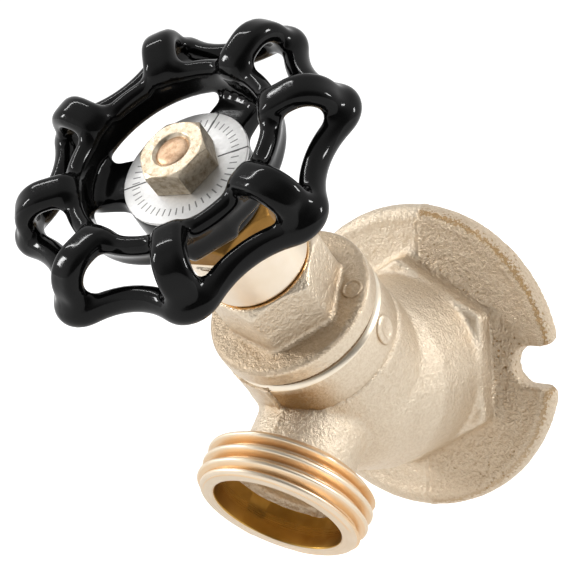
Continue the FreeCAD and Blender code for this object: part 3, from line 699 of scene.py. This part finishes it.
def relax(mesh: Mesh, rounds: int) -> None:
    """Smooth a mesh a number of times.

    Args:
        mesh: the mesh.
        rounds: how many times.
    """
    for _ in range(rounds):
        bmesh.ops.smooth_vert(
            mesh, verts=mesh.verts[:], factor=0.5, use_axis_x=True, use_axis_y=True, use_axis_z=True
        )


def swell(mesh: Mesh, amount: float) -> None:
    """Push every vertex out along its normal.

    Args:
        mesh: the mesh, in millimetres.
        amount: how far, negative for inwards.
    """
    mesh.normal_update()
    for vert in mesh.verts:
        vert.co = vert.co + vert.normal * amount


def placed(mesh: Mesh, line: WorkLine) -> Iterable[tuple[Vert, Vector]]:
    """Give each vertex of a mesh in the row's frame with its place in a working line's frame."""
    inverse = line.matrix().inverted()
    return ((vert, inverse @ vert.co) for vert in mesh.verts)


def dress(mesh: Mesh, line: WorkLine, pick: Callable[[float, float], int]) -> None:
    """Choose each face's material by its place about a working line.

    Args:
        mesh: the mesh, in millimetres.
        line: the working line, or ROW for a mesh in its line's own frame.
        pick: gives the material's index for a radius and a level.
    """
    inverse = line.matrix().inverted()
    for face in mesh.faces:
        local = inverse @ face.calc_center_median()
        face.material_index = pick(span(local), local.z)


def true_round(
    mesh: Mesh, line: WorkLine, radius: float, low: float, high: float, reach: float = 0.3
) -> None:
    """Bring a turned wall back to its exact radius after remeshing.

    Args:
        mesh: the mesh, in millimetres.
        line: the wall's working line.
        radius: the wall's radius.
        low: the wall's lowest level.
        high: the wall's highest level.
        reach: how far off a vertex may be to belong to the wall.
    """
    matrix = line.matrix()
    for vert, local in placed(mesh, line):
        if low < local.z < high and abs(span(local) - radius) < reach:
            vert.co = matrix @ drawn(local, radius, local.z)


def true_flat(
    mesh: Mesh, line: WorkLine, level: float, inner: float, outer: float, reach: float = 0.2
) -> None:
    """Bring a faced ring back to its exact level after remeshing.

    Args:
        mesh: the mesh, in millimetres.
        line: the ring's working line.
        level: the ring's level.
        inner: its inner radius.
        outer: its outer radius.
        reach: how far off a vertex may be to belong to the ring.
    """
    matrix = line.matrix()
    for vert, local in placed(mesh, line):
        if inner < span(local) < outer and abs(local.z - level) < reach:
            vert.co = matrix @ Vector((local.x, local.y, level))


def closed(mesh: Mesh, outline: Outline, lift: float = 0.0) -> tuple[list[Vert], list[Edge]]:
    """Draw a closed outline of (radius, level) corners in the XZ plane, raised by lift."""
    verts = [mesh.verts.new((radius, 0.0, lift + level)) for radius, level in outline]
    return verts, [mesh.edges.new(pair) for pair in zip(verts, verts[1:] + verts[:1])]


def lathed(outline: Outline, steps: int = 160) -> Mesh:
    """Turn an outline all round the Z axis.

    Args:
        outline: the closed outline's corners as (radius, level).
        steps: how many steps make the turn.

    Returns:
        The closed turned mesh.
    """
    mesh = bmesh.new()
    verts, edges = closed(mesh, outline)
    bmesh.ops.spin(
        mesh,
        geom=verts + edges,
        cent=(0, 0, 0),
        axis=(0, 0, 1),
        angle=math.tau,
        steps=steps,
        use_merge=True,
    )
    bmesh.ops.remove_doubles(mesh, verts=mesh.verts, dist=1e-4)
    return mesh


def helical(half: Outline, pitch: float, turns: float, start_level: float, phase: float) -> Mesh:
    """Wind a section round the Z axis as a right-handed ridge.

    Args:
        half: the upper half of the section, from its foot to its crest, as (radius, level).
        pitch: the rise of one turn.
        turns: how many turns.
        start_level: the level of the section's middle at the start.
        phase: the start's angle from +X, in degrees.

    Returns:
        The ridge, closed at both ends.
    """
    mesh = bmesh.new()
    section = [(radius, -level) for radius, level in half] + list(half)[::-1]
    verts, edges = closed(mesh, section, start_level)
    mesh.faces.new(verts)
    count = round(THREAD_STEPS * turns)
    made = bmesh.ops.spin(
        mesh,
        geom=verts + edges,
        cent=(0, 0, 0),
        axis=(0, 0, 1),
        dvec=(0, 0, pitch / THREAD_STEPS),
        angle=math.tau * count / THREAD_STEPS,
        steps=count,
    )
    last = [item for item in made["geom_last"] if isinstance(item, Edge)]
    bmesh.ops.contextual_create(mesh, geom=last)
    bmesh.ops.remove_doubles(mesh, verts=mesh.verts, dist=1e-5)
    turn = Matrix.Rotation(math.radians(phase), 3, "Z")
    bmesh.ops.rotate(mesh, verts=mesh.verts, cent=(0, 0, 0), matrix=turn)
    return mesh


def join(mesh: Mesh, other: Mesh, line: WorkLine) -> None:
    """Add another mesh, made along a working line, to a mesh in the row's frame.

    Args:
        mesh: the mesh that grows, in millimetres.
        other: the mesh to add; it is freed.
        line: the working line that it was made along.
    """
    bmesh.ops.transform(other, matrix=line.matrix(), verts=other.verts)
    bmesh.ops.recalc_face_normals(other, faces=other.faces)
    data = stored("joined", other)
    mesh.from_mesh(data)
    bpy.data.meshes.remove(data)


def finished(
    name: str, mesh: Mesh, materials: Sequence[Material], line: WorkLine = ROW, sharp: float = 35.0
) -> bpy.types.Object:
    """Turn a mesh in millimetres into a piece at its place, in metres.

    Args:
        name: the piece's name.
        mesh: the mesh in the line's frame; it is freed.
        materials: its materials, in slot order.
        line: the working line that it was made along.
        sharp: the angle in degrees past which an edge stays sharp.

    Returns:
        The piece.
    """
    bmesh.ops.transform(mesh, matrix=Matrix.Scale(MM, 4) @ line.matrix(), verts=mesh.verts)
    bmesh.ops.recalc_face_normals(mesh, faces=mesh.faces)
    data = stored(name, mesh)
    data.shade_smooth()
    data.set_sharp_from_angle(angle=math.radians(sharp))
    for material in materials:
        data.materials.append(material)
    return linked(name, data)


def seat(piece: bpy.types.Object, body: Body, slot: Slot, *nodes: str) -> None:
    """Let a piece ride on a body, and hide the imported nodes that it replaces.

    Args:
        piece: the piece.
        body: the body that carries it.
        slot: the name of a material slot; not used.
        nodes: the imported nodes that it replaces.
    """
    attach(piece, body.value)
    if nodes:
        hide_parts(*nodes)
    LOG.info("%s: %d faces", piece.name, len(piece.data.polygons))


@dataclass
class ValveCasting:
    """The body casting with its machined collar, hose end and threads.

    Sizes are in millimetres, and depths are distances from the wall. A tuck is how far the rough
    casting is drawn inside a machined piece that covers it. Noises are given as their height, the
    size of their bumps and their seed.
    """

    finishes: Finishes
    voxel: float = 0.49
    detail_margin: float = 1.3
    detail_depth: float = 4.8
    flange_radius: float = 25.4
    flange_depth: float = 4.6
    neck_depth: float = 16.0
    back_margin: float = 0.4
    chamber_radius: float = 11.5
    chamber_floor: float = -4.0
    sand: Sequence[Triple] = ((0.05, 2.6, 0.0), (0.04, 1.1, 7.0))
    collar_radius: float = 13.02
    collar_level: float = 12.0
    rim_level: float = 19.1
    rim_bevel: float = 0.7
    rim_bore: float = 10.66
    rim_tuck: float = 0.55
    tuck: float = 0.25
    boss_half: tuple[float, float] = (2.6, 2.1)
    boss_height: float = 0.62
    boss_hollow: float = 0.62
    boss_angle: float = 3.8
    boss_level: float = 15.5
    hose_start: float = 19.7
    hose_end: float = 26.8
    hose_reach: float = 14.5
    hose_wall: float = 11.1
    root_radius: float = 12.06
    crest_radius: float = 13.43
    end_radius: float = 12.6
    end_tuck: float = 0.35
    bore_radius: float = 10.2
    bore_depth: float = 6.8
    bore_lip: float = 1.1
    lip_waves: Sequence[Triple] = ((0.3, 3.0, 0.0), (0.15, 1.0, 4.0))
    pitch: float = 2.209
    thread_turns: float = 4.2
    crest_reach: float = 20.7
    crest_angle: float = 152.0
    inlet_radius: float = 9.3
    inlet_depth: float = 13.0
    inlet_pitch: float = 1.814
    inlet_turns: float = 5.6
    inlet_start: float = 1.0
    inlet_angle: float = 20.0
    parting_x: float = 1.9
    band_radius: float = 24.0
    groove_depth: float = 0.24
    coarse_depth: float = 0.16
    nub_width: float = 0.8
    nub_height: float = 0.14
    flash_width: float = 0.42
    flash_height: float = 0.38
    flash_x: float = -0.7
    flash_wander: Triple = (0.4, 0.9, 5.0)
    unturned_margin: float = 0.55
    unturned_front: float = 4.0
    unturned_lift: float = 0.12
    seam_width: float = 0.36
    seam_height: float = 0.22
    seam_wander: Triple = (0.25, 1.7, 3.0)
    groove_wander: Triple = (0.35, 1.6, 3.0)
    band_wander: Triple = (0.5, 0.9, 9.0)
    coarse_bumps: Triple = (0.09, 0.9, 5.0)

    def build(self) -> None:
        """Build the casting and everything cut on it."""
        self.casting()
        self.collar()
        self.boss()
        self.hose()
        self.hose_thread()
        self.inlet_thread()

    def casting(self) -> None:
        """Make the rough casting: rounded joints, parting line, sand texture and flash."""
        mesh = remeshed(node_solid("valve_body"), self.voxel, 3)
        near = [edge for edge in mesh.edges if self.is_detailed(edge)]
        bmesh.ops.subdivide_edges(mesh, edges=near, cuts=1, use_grid_fill=True)
        true_round(mesh, INLET, self.inlet_radius, 0.2, self.inlet_depth - 0.3)
        true_flat(mesh, INLET, 0.0, self.inlet_radius + 0.3, self.flange_radius - 0.8)
        self.roughen(mesh)
        self.clear_hose_end(mesh)
        self.clear_collar(mesh)
        wall = self.inlet_radius + 0.15
        dress(mesh, INLET, lambda radius, level: int(radius < wall and level < self.inlet_depth))
        piece = finished("cast_body", mesh, [self.finishes.cast, self.finishes.inlet], sharp=60.0)
        seat(piece, Body.HOUSING, Slot.CAST, "valve_body")

    def is_detailed(self, edge: Edge) -> bool:
        """Tell whether an edge lies at the parting line or on the flange's coarse face.

        Args:
            edge: the edge, in millimetres.

        Returns:
            True where the mesh needs a finer grid.
        """
        first, second = (vert.co for vert in edge.verts)
        if max(first.y, second.y) > -0.5 or min(first.x, second.x) < -self.detail_margin:
            return False
        return max(first.x, second.x) < self.detail_margin or min(first.y, second.y) > -self.detail_depth

    def roughen(self, mesh: Mesh) -> None:
        """Give the outside the casting's unevenness, its parting line and the flange's relief.

        Args:
            mesh: the casting, in millimetres.
        """
        mesh.normal_update()
        for vert, local in placed(mesh, STEM):
            spot = vert.co
            wall_radius = math.hypot(spot.x, spot.z)
            in_inlet = wall_radius < self.inlet_radius + 0.6 and spot.y > -self.inlet_depth - 0.5
            in_chamber = span(local) < self.chamber_radius and local.z > self.chamber_floor
            if in_inlet or in_chamber or spot.y > -self.back_margin:
                continue
            push = uneven(spot, self.sand)
            if spot.y > -self.flange_depth and wall_radius > self.inlet_radius:
                push += self.flange_relief(spot, wall_radius)
            elif abs(vert.normal.x) < 0.5 and spot.y < -self.neck_depth:
                seam = ridge(spot.x - uneven(spot, [self.seam_wander]), self.seam_width)
                push += self.seam_height * seam * (0.6 + 1.3 * wobble(spot, 0.9, 11.0))
            vert.co = spot + vert.normal * push

    def flange_relief(self, spot: Vector, wall_radius: float) -> float:
        """Give the flange its ragged parting groove, its coarse +X half and its smooth rim band.

        Args:
            spot: a point of the flange, in millimetres.
            wall_radius: its distance from the inlet's line.

        Returns:
            How far the point moves along its normal.
        """
        line = self.parting_x + uneven(spot, [self.groove_wander])
        groove = ridge(spot.x - line, self.seam_width)
        groove *= ease(16.5, 17.5, wall_radius) * ease(25.2, 24.2, wall_radius)
        push = -self.groove_depth * groove * (0.8 + 0.8 * wobble(spot, 0.8, 11.0))
        nub = ridge(spot.x - line, self.nub_width) * ease(24.6, 25.2, wall_radius)
        inside = self.band_radius + uneven(spot, [self.band_wander])
        rough = ease(line, line + 0.8, spot.x) * ease(inside + 0.25, inside - 0.25, wall_radius)
        rough *= 0.4 + 0.6 * ease(-14.0, 2.0, spot.z)
        push += rough * (uneven(spot, [self.coarse_bumps]) - self.coarse_depth)
        return push + self.nub_height * nub

    def clear_hose_end(self, mesh: Mesh) -> None:
        """Draw the casting's hose end inside the machined pieces that cover it.

        Args:
            mesh: the casting, in millimetres.
        """
        matrix = OUTLET.matrix()
        lip = self.hose_end - self.bore_depth + self.bore_lip + self.end_tuck
        for vert, local in placed(mesh, OUTLET):
            radius = wanted = span(local)
            if local.z < self.hose_start - 0.7 or radius > self.hose_reach:
                continue
            if radius > self.hose_wall:
                wanted = min(radius, self.root_radius - self.tuck)
            elif local.z > lip and radius > self.bore_radius - 0.9:
                wanted = max(radius, self.bore_radius + self.end_tuck)
            vert.co = matrix @ drawn(local, wanted, min(local.z, self.hose_end - self.end_tuck))

    def clear_collar(self, mesh: Mesh) -> None:
        """Draw the casting inside the turned collar, except on the unturned side past the seam.

        Args:
            mesh: the casting, in millimetres.
        """
        matrix = STEM.matrix()
        for vert, local in placed(mesh, STEM):
            radius = span(local)
            if local.z < self.collar_level + 0.1 or not 11.6 < radius < 13.5:
                continue
            wanted = min(radius, self.collar_radius - self.tuck)
            seam = self.flash_x + uneven(vert.co, [self.flash_wander])
            if local.x < seam + self.unturned_margin and local.y < self.unturned_front:
                flash = ridge(local.x - seam, self.flash_width) * (0.75 + 0.6 * wobble(vert.co, 0.7, 8.0))
                wanted = self.collar_radius + self.unturned_lift + 0.05 * wobble(vert.co, 1.0)
                wanted += self.flash_height * flash
            vert.co = matrix @ drawn(local, wanted, min(local.z, self.rim_level - self.rim_tuck))

    def collar(self) -> None:
        """Make the turned collar with its bevelled rim."""
        foot = self.collar_level - 0.05
        bevel = self.rim_level - self.rim_bevel
        outline = [
            (self.rim_bore, foot),
            *about(self.collar_radius, foot, (-0.25, 0.0), (-0.05, 0.12), (0.0, 0.35)),
            *about(self.collar_radius, bevel, (0.0, -0.1), (-0.04, 0.05)),
            *about(self.collar_radius - self.rim_bevel, self.rim_level, (0.12, -0.08), (-0.05, 0.0)),
            (self.rim_bore, self.rim_level),
        ]
        mesh = lathed(outline)
        dress(mesh, ROW, lambda _, level: int(level > bevel - 0.2))
        piece = finished("machined_collar", mesh, [self.finishes.fine_cast, self.finishes.rim], STEM)
        seat(piece, Body.HOUSING, Slot.TURNED)

    def boss(self) -> None:
        """Make the low oval boss on the collar's +X side, a rim with a sunken middle."""
        mesh = bmesh.new()
        bmesh.ops.create_uvsphere(mesh, u_segments=40, v_segments=24, radius=1.0)
        for vert in mesh.verts:
            if vert.co.z > 0:
                vert.co.z = 0.3 + 0.7 * vert.co.z - self.boss_hollow * ease(0.72, 0.3, span(vert.co))
                vert.co.z += 0.12 * wobble(vert.co * 3.0, 1.0, 2.0)
        bmesh.ops.scale(mesh, vec=(*self.boss_half, self.boss_height), verts=mesh.verts)
        turn = Matrix.Rotation(math.radians(self.boss_angle), 4, "Z") @ Matrix.Rotation(math.pi / 2, 4, "Y")
        lift = Matrix.Translation((0.0, 0.0, self.boss_level))
        out = Matrix.Translation((0.0, 0.0, self.collar_radius - 0.1))
        bmesh.ops.transform(mesh, matrix=lift @ turn @ out, verts=mesh.verts)
        piece = finished("collar_boss", mesh, [self.finishes.fine_cast], STEM, sharp=80.0)
        seat(piece, Body.HOUSING, Slot.CAST)

    def hose(self) -> None:
        """Make the hose end's root, its faced end and its bore."""
        floor = self.hose_end - self.bore_depth + self.bore_lip
        outline = [
            (self.bore_radius, floor),
            *about(self.bore_radius, self.hose_end, (0.0, -0.45), (0.08, -0.2), (0.3, 0.0)),
            *about(self.end_radius, self.hose_end, (-0.95, 0.0), (-0.5, -0.1), (-0.14, -0.34)),
            *about(self.end_radius, self.hose_end, (0.0, -0.66), (-0.04, -0.9)),
            (self.root_radius, self.hose_end - 1.4),
            *about(self.root_radius, self.hose_start, (0.0, -0.3), (-0.25, -0.62), (-1.2, -0.75)),
            (self.bore_radius + 0.3, floor - 0.35),
        ]
        mesh = lathed(outline)
        dress(mesh, ROW, self.hose_finish)
        for vert in mesh.verts:
            if vert.co.z < floor + 0.01 and span(vert.co) < self.bore_radius + 0.01:
                vert.co.z += uneven(vert.co, self.lip_waves)
        materials = [self.finishes.hose, self.finishes.bore, self.finishes.hose_face]
        seat(finished("hose_end", mesh, materials, OUTLET), Body.HOUSING, Slot.TURNED)

    def hose_finish(self, radius: float, level: float) -> int:
        """Pick the hose end's finish: the root's, the bore's in the bore, or the face's at the end."""
        face = 2 if level > self.hose_end - 0.8 else 0
        return 1 if radius < self.bore_radius + 0.05 else face

    def hose_thread(self) -> None:
        """Make the hose thread's ridge, which fades out at the neck and at the faced end."""
        buried = self.root_radius - 0.3
        half = [(buried, 1.0), (self.root_radius, 0.97)]
        half += about(self.crest_radius, 0.0, (-0.16, 0.34), (-0.04, 0.24), (0.0, 0.1))
        start = self.crest_reach - self.pitch
        mesh = helical(half, self.pitch, self.thread_turns, start, self.crest_angle)
        for vert in mesh.verts:
            level = vert.co.z
            limit = min(
                self.crest_radius,
                self.end_radius + 0.95 * (self.hose_end - 0.6 - level),
                self.root_radius - 0.1 + 1.25 * (level - self.hose_start + 0.75),
            )
            wanted = max(min(span(vert.co), limit), buried)
            vert.co = drawn(vert.co, wanted, min(max(level, self.hose_start - 0.7), self.hose_end - 0.03))
        bmesh.ops.remove_doubles(mesh, verts=mesh.verts, dist=0.002)
        seat(finished("hose_thread", mesh, [self.finishes.hose], OUTLET), Body.HOUSING, Slot.TURNED)

    def inlet_thread(self) -> None:
        """Make the pipe thread inside the inlet, seen from the wall."""
        half = about(self.inlet_radius, 0.0, (0.15, 0.84), (-0.75, 0.1))
        mesh = helical(half, self.inlet_pitch, self.inlet_turns, self.inlet_start, self.inlet_angle)
        seat(finished("inlet_thread", mesh, [self.finishes.inlet], INLET), Body.HOUSING, Slot.TURNED)


@dataclass
class BonnetCover:
    """The screwed bonnet: cast flange and hexagon, turned edge and chamfer."""

    finishes: Finishes
    voxel: float = 0.25
    flange_radius: float = 13.15
    flange_foot: float = 20.0
    flange_top: float = 23.4
    top: float = 32.5
    top_radius: float = 8.2
    chamfer_slope: float = 0.9016
    button_radius: float = 1.55
    button_place: float = 10.75
    button_angle: float = 13.8
    inner_radius: float = 8.0
    sand: Sequence[Triple] = ((0.05, 2.2, 2.0), (0.035, 0.8, 4.0))

    def build(self) -> None:
        """Build the bonnet and its round mark."""
        mesh = remeshed(node_solid("bonnet"), self.voxel, 2)
        true_round(mesh, STEM, self.flange_radius, self.flange_foot + 0.35, self.flange_top - 1.0)
        mesh.normal_update()
        for vert, local in placed(mesh, STEM):
            radius = span(local)
            outside = self.inner_radius + 0.05 < radius < self.flange_radius - 0.7
            if outside and local.z < self.top - 0.2 and not self.turned(radius, local.z):
                vert.co = vert.co + vert.normal * uneven(vert.co, self.sand)
        dress(mesh, STEM, self.finish)
        finishes = self.finishes
        materials = [finishes.cast, finishes.fine_cast, finishes.inside, finishes.shaded_flange_brass]
        piece = finished("bonnet_cover", mesh, materials, sharp=60.0)
        seat(piece, Body.HOUSING, Slot.CAST, "bonnet")
        self.button()

    def turned(self, radius: float, level: float) -> bool:
        """Tell whether a place was cut on the lathe: the flange's edge or the hexagon's chamfer."""
        edge = radius > self.flange_radius - 0.25 and level < self.flange_top - 0.55
        return edge or level + self.chamfer_slope * (radius - self.top_radius) > self.top - 0.14

    def finish(self, radius: float, level: float) -> int:
        """Pick the finish of a place on the bonnet.

        Args:
            radius: the distance from the stem's line.
            level: the level along it.

        Returns:
            0 for the cast hexagon, 1 where it was turned, 2 inside, 3 for the cast flange, in a darker copy
            of the cast brass that paints shade on it.
        """
        if radius < self.inner_radius or level < self.flange_foot - 0.1:
            return 2
        if self.turned(radius, level):
            return 1
        return 3 if level < self.flange_top + 0.3 else 0

    def button(self) -> None:
        """Make the low round mark on the flange."""
        steps = ((-0.45, 0.1), (-0.2, 0.3), (-0.02, 0.26), (0.12, -0.02), (0.14, -0.3))
        mesh = lathed([(0.0, -0.3), (0.0, 0.14), *about(self.button_radius, 0.0, *steps)], 40)
        angle = math.radians(self.button_angle)
        along, across = self.button_place * math.cos(angle), self.button_place * math.sin(angle)
        bmesh.ops.translate(mesh, vec=(along, across, self.flange_top), verts=mesh.verts)
        seat(finished("bonnet_button", mesh, [self.finishes.shaded_flange_brass], STEM), Body.HOUSING, Slot.CAST)


@dataclass
class CoverNut:
    """The packing nut over the bonnet's neck: a smooth skirt below a hexagon."""

    finishes: Finishes
    voxel: float = 0.2
    radius: float = 8.0
    foot: float = 32.8
    foot_drop: float = 0.1
    shoulder: float = 42.4

    def build(self) -> None:
        """Build the nut."""
        mesh = remeshed(node_solid("packing_nut"), self.voxel, 3)
        true_round(mesh, STEM, self.radius, self.foot + 0.45, self.shoulder - 0.2)
        matrix = STEM.matrix()
        for vert, local in placed(mesh, STEM):
            if local.z < self.foot + 0.12 and span(local) > self.radius - 1.2:
                vert.co = matrix @ Vector((local.x, local.y, local.z - self.foot_drop))
        dress(mesh, STEM, self.finish)
        materials = [self.finishes.nut_skirt, self.finishes.gold_edge, self.finishes.shaded_hex_brass]
        piece = finished("cover_nut", mesh, materials, sharp=60.0)
        seat(piece, Body.HOUSING, Slot.TURNED, "packing_nut")

    def finish(self, radius: float, level: float) -> int:
        """Pick the finish of a place: the skirt's, the golden foot and bore, or the hexagon's darker brass,
        painted shade and dark reflection under the wheel.
        """
        golden = int(level < self.foot + 0.1 or radius < self.radius - 1.6)
        return 2 if level > self.shoulder + 0.1 else golden


@dataclass
class Handwheel:
    """The enamelled wheel with its label disc and nut, on the spindle."""

    finishes: Finishes
    voxel: float = 0.32
    fillet: float = 0.75
    rounds: int = 11
    enamel_growth: float = 0.17
    hub_bell: Outline = ((5.6, 47.5), (8.4, 47.3), (9.1, 47.7), (9.2, 51.0), (9.0, 54.7), (5.6, 54.7))
    offset: tuple[float, float] = (-0.66, -0.21)
    offset_start: float = 5.0
    offset_full: float = 9.0
    label_bevel: float = 0.08
    nut_voxel: float = 0.09
    stem_top: float = 58.95
    stem_dome: float = 0.42
    stem_end_radius: float = 2.6

    def build(self) -> None:
        """Build the wheel, the label, the nut and the stem's end."""
        self.enamel()
        self.label()
        self.nut()
        self.stem_end()

    def enamel(self) -> None:
        """Make the wheel, its corners filled by thick enamel and its rim a little off centre."""
        mesh = node_solid("handwheel")
        join(mesh, lathed(self.hub_bell), STEM)
        mesh = remeshed(mesh, self.voxel, 2)
        swell(mesh, self.fillet)
        mesh = remeshed(mesh, self.voxel, 2)
        swell(mesh, -self.fillet)
        relax(mesh, self.rounds)
        swell(mesh, self.enamel_growth)
        matrix = STEM.matrix()
        for vert, local in placed(mesh, STEM):
            share = ease(self.offset_start, self.offset_full, span(local))
            shift = Vector((self.offset[0] * share, self.offset[1] * share, 0.0))
            vert.co = matrix @ (local + shift)
        piece = finished("wheel_enamel", mesh, [self.finishes.enamel], sharp=80.0)
        seat(piece, Body.SPINDLE, Slot.ENAMEL, "handwheel")

    def label(self) -> None:
        """Make the label disc with a softened edge."""
        mesh = node_solid("label_disc")
        flat = math.radians(1.0)
        bmesh.ops.dissolve_limit(mesh, angle_limit=flat, verts=mesh.verts[:], edges=mesh.edges[:])
        rims = [edge for edge in mesh.edges if edge.is_manifold and edge.calc_face_angle() > 1.0]
        bmesh.ops.bevel(
            mesh,
            geom=rims,
            offset=self.label_bevel,
            segments=2,
            profile=0.5,
            affect="EDGES",
            material=-1,
        )
        piece = finished("label_plate", mesh, [self.finishes.label])
        seat(piece, Body.SPINDLE, Slot.LABEL, "label_disc")

    def nut(self) -> None:
        """Make the handle nut with worn corners."""
        mesh = remeshed(node_solid("handle_nut"), self.nut_voxel, 3)
        piece = finished("wheel_nut", mesh, [self.finishes.nut], sharp=60.0)
        seat(piece, Body.SPINDLE, Slot.NUT, "handle_nut")

    def stem_end(self) -> None:
        """Make the stem's slightly domed, hammered end inside the nut."""
        radius, top = self.stem_end_radius, self.stem_top
        shares = ((0.45, 0.95), (0.78, 0.7), (0.93, 0.3))
        outline = [
            (0.0, top - 0.3),
            (0.0, top + self.stem_dome),
            *((radius * out, top + self.stem_dome * up) for out, up in shares),
            (radius, top - 0.14),
            (radius, top - 0.3),
        ]
        mesh = lathed(outline, 64)
        seat(finished("stem_end", mesh, [self.finishes.stem], STEM), Body.SPINDLE, Slot.STEM)


@dataclass
class InnerPieces:
    """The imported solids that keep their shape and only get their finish."""

    finishes: Finishes

    def build(self) -> None:
        """Give each remaining node its material."""
        plan = {
            "bonnet_gasket": self.finishes.fibre,
            "packing_washer": self.finishes.inside,
            "packing": self.finishes.rubber,
            "packing_gland": self.finishes.inside,
            "stem": self.finishes.stem,
            "disc_holder": self.finishes.inside,
            "seat_washer": self.finishes.rubber,
            "washer_screw": self.finishes.inside,
        }
        for node, material in plan.items():
            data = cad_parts[node].data
            data.materials.clear()
            data.materials.append(material)
            LOG.info("%s dressed", node)


@dataclass
class Studio:
    """The floor, the soft light and the camera at the photograph's viewing angle.

    Attributes:
        floor_level: the floor's level, in millimetres.
        floor_half: half of the floor's width, in metres.
        sky_fades: how the sky's strength changes along directions. Each is the direction, the
            shares along it where the change starts and ends, and the strengths there.
        lamps: each soft box's name, place, width and height in metres, and power in watts.
        lamp_aim: the place that the soft boxes face, in metres.
    """

    floor_level: float = -28.6
    floor_half: float = 9.0
    floor_glow: float = 0.55
    floor_shine: float = 0.25
    sky_fades: tuple[tuple[Triple, float, float, float, float], ...] = (
        ((0.62, -0.76, 0.05), 0.3, 0.92, 0.88, 0.1),
        ((-0.35, 0.0, 0.95), 0.45, 0.98, 1.0, 0.72),
    )
    lamps: tuple[tuple[str, Triple, float, float, float], ...] = (
        ("key", (-0.8, -0.5, 0.45), 0.08, 0.34, 3.2),
        ("strip", (-0.55, -0.1, 0.8), 0.025, 0.4, 0.9),
        ("rear", (0.75, 0.2, 0.45), 0.1, 0.24, 3.2),
    )
    lamp_aim: Triple = (0.0, -0.04, 0.01)
    lens: float = 118.75
    camera_place: Triple = (0.157526, -0.268338, 0.067990)
    right: Triple = (0.82853601, 0.55693911, -0.05785241)
    down: Triple = (0.05123076, -0.17828673, -0.98264401)
    ahead: Triple = (-0.5575872, 0.81119213, -0.17624939)

    def build(self) -> None:
        """Build the camera, floor, world and lamps."""
        self.camera()
        self.floor()
        self.world()
        for lamp in self.lamps:
            self.lamp(*lamp)

    def camera(self) -> None:
        """Place the camera."""
        data = bpy.data.cameras.new("camera")
        data.lens = self.lens
        data.clip_start = 0.01
        camera = linked("camera", data)
        rows = Matrix((self.right, -Vector(self.down), -Vector(self.ahead)))
        camera.matrix_world = Matrix.Translation(self.camera_place) @ rows.transposed().to_4x4()
        bpy.context.scene.camera = camera

    def floor(self) -> None:
        """Lay the pale floor."""
        mesh = bmesh.new()
        bmesh.ops.create_grid(mesh, x_segments=2, y_segments=2, size=self.floor_half)
        floor = linked("floor", stored("floor", mesh))
        floor.location.z = self.floor_level * MM
        shader = Shader("floor_paint")
        path = shader.add("ShaderNodeLightPath").outputs
        seen = shader.maths("MAXIMUM", path["Is Glossy Ray"], path["Is Transmission Ray"])
        glow = shader.maths("MULTIPLY", seen, self.floor_shine)
        glow = shader.maths("MULTIPLY_ADD", path["Is Camera Ray"], self.floor_glow, glow)
        shader.set(
            Base_Color=(0.84, 0.84, 0.84),
            Roughness=0.9,
            Specular_IOR_Level=0.0,
            Emission_Color=(1.0, 1.0, 1.0),
            Emission_Strength=glow,
        )
        floor.data.materials.append(shader.material)

    def world(self) -> None:
        """Light the object from a soft sky that is darker low on the +X side."""
        world = bpy.data.worlds.new("studio")
        bpy.context.scene.world = world
        world.use_nodes = True
        sky = NodeTree(world.node_tree)
        place = sky.add("ShaderNodeTexCoord").outputs["Generated"]
        strength: object = 1.0
        for aim, *fade in self.sky_fades:
            inputs = {0: place, 1: Vector(aim).normalized()}
            facing = sky.add("ShaderNodeVectorMath", inputs, operation="DOT_PRODUCT").outputs["Value"]
            strength = sky.maths("MULTIPLY", strength, sky.spread(facing, *fade))
        seen = sky.add("ShaderNodeLightPath").outputs["Is Camera Ray"]
        pick = sky.add("ShaderNodeMix", {0: seen, 2: strength, 3: 1.0}).outputs[0]
        background = world.node_tree.nodes["Background"]
        sky.feed(background.inputs["Strength"], pick)
        sky.feed(background.inputs["Color"], (1.0, 1.0, 1.0, 1.0))

    def lamp(self, name: str, place: Triple, width: float, height: float, power: float) -> None:
        """Hang one soft box that faces the object.

        Args:
            name: the lamp's name.
            place: where it hangs, in metres.
            width: its width, in metres.
            height: its height, in metres.
            power: its power, in watts.
        """
        data = bpy.data.lights.new(name, "AREA")
        data.shape = "RECTANGLE"
        data.size = width
        data.size_y = height
        data.energy = power
        aim = Vector(self.lamp_aim) - Vector(place)
        turn = aim.to_track_quat("-Z", "Y").to_matrix().to_4x4()
        linked(name, data).matrix_world = Matrix.Translation(place) @ turn


def main() -> None:
    """Build every sub-assembly and light it."""
    logging.basicConfig(level=logging.INFO, format="%(name)s: %(message)s")
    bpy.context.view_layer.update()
    bpy.context.scene.view_settings.view_transform = "Standard"
    finishes = Finishes()
    ValveCasting(finishes).build()
    BonnetCover(finishes).build()
    CoverNut(finishes).build()
    Handwheel(finishes).build()
    InnerPieces(finishes).build()
    Studio().build()


if __name__ == "__main__":
    main()
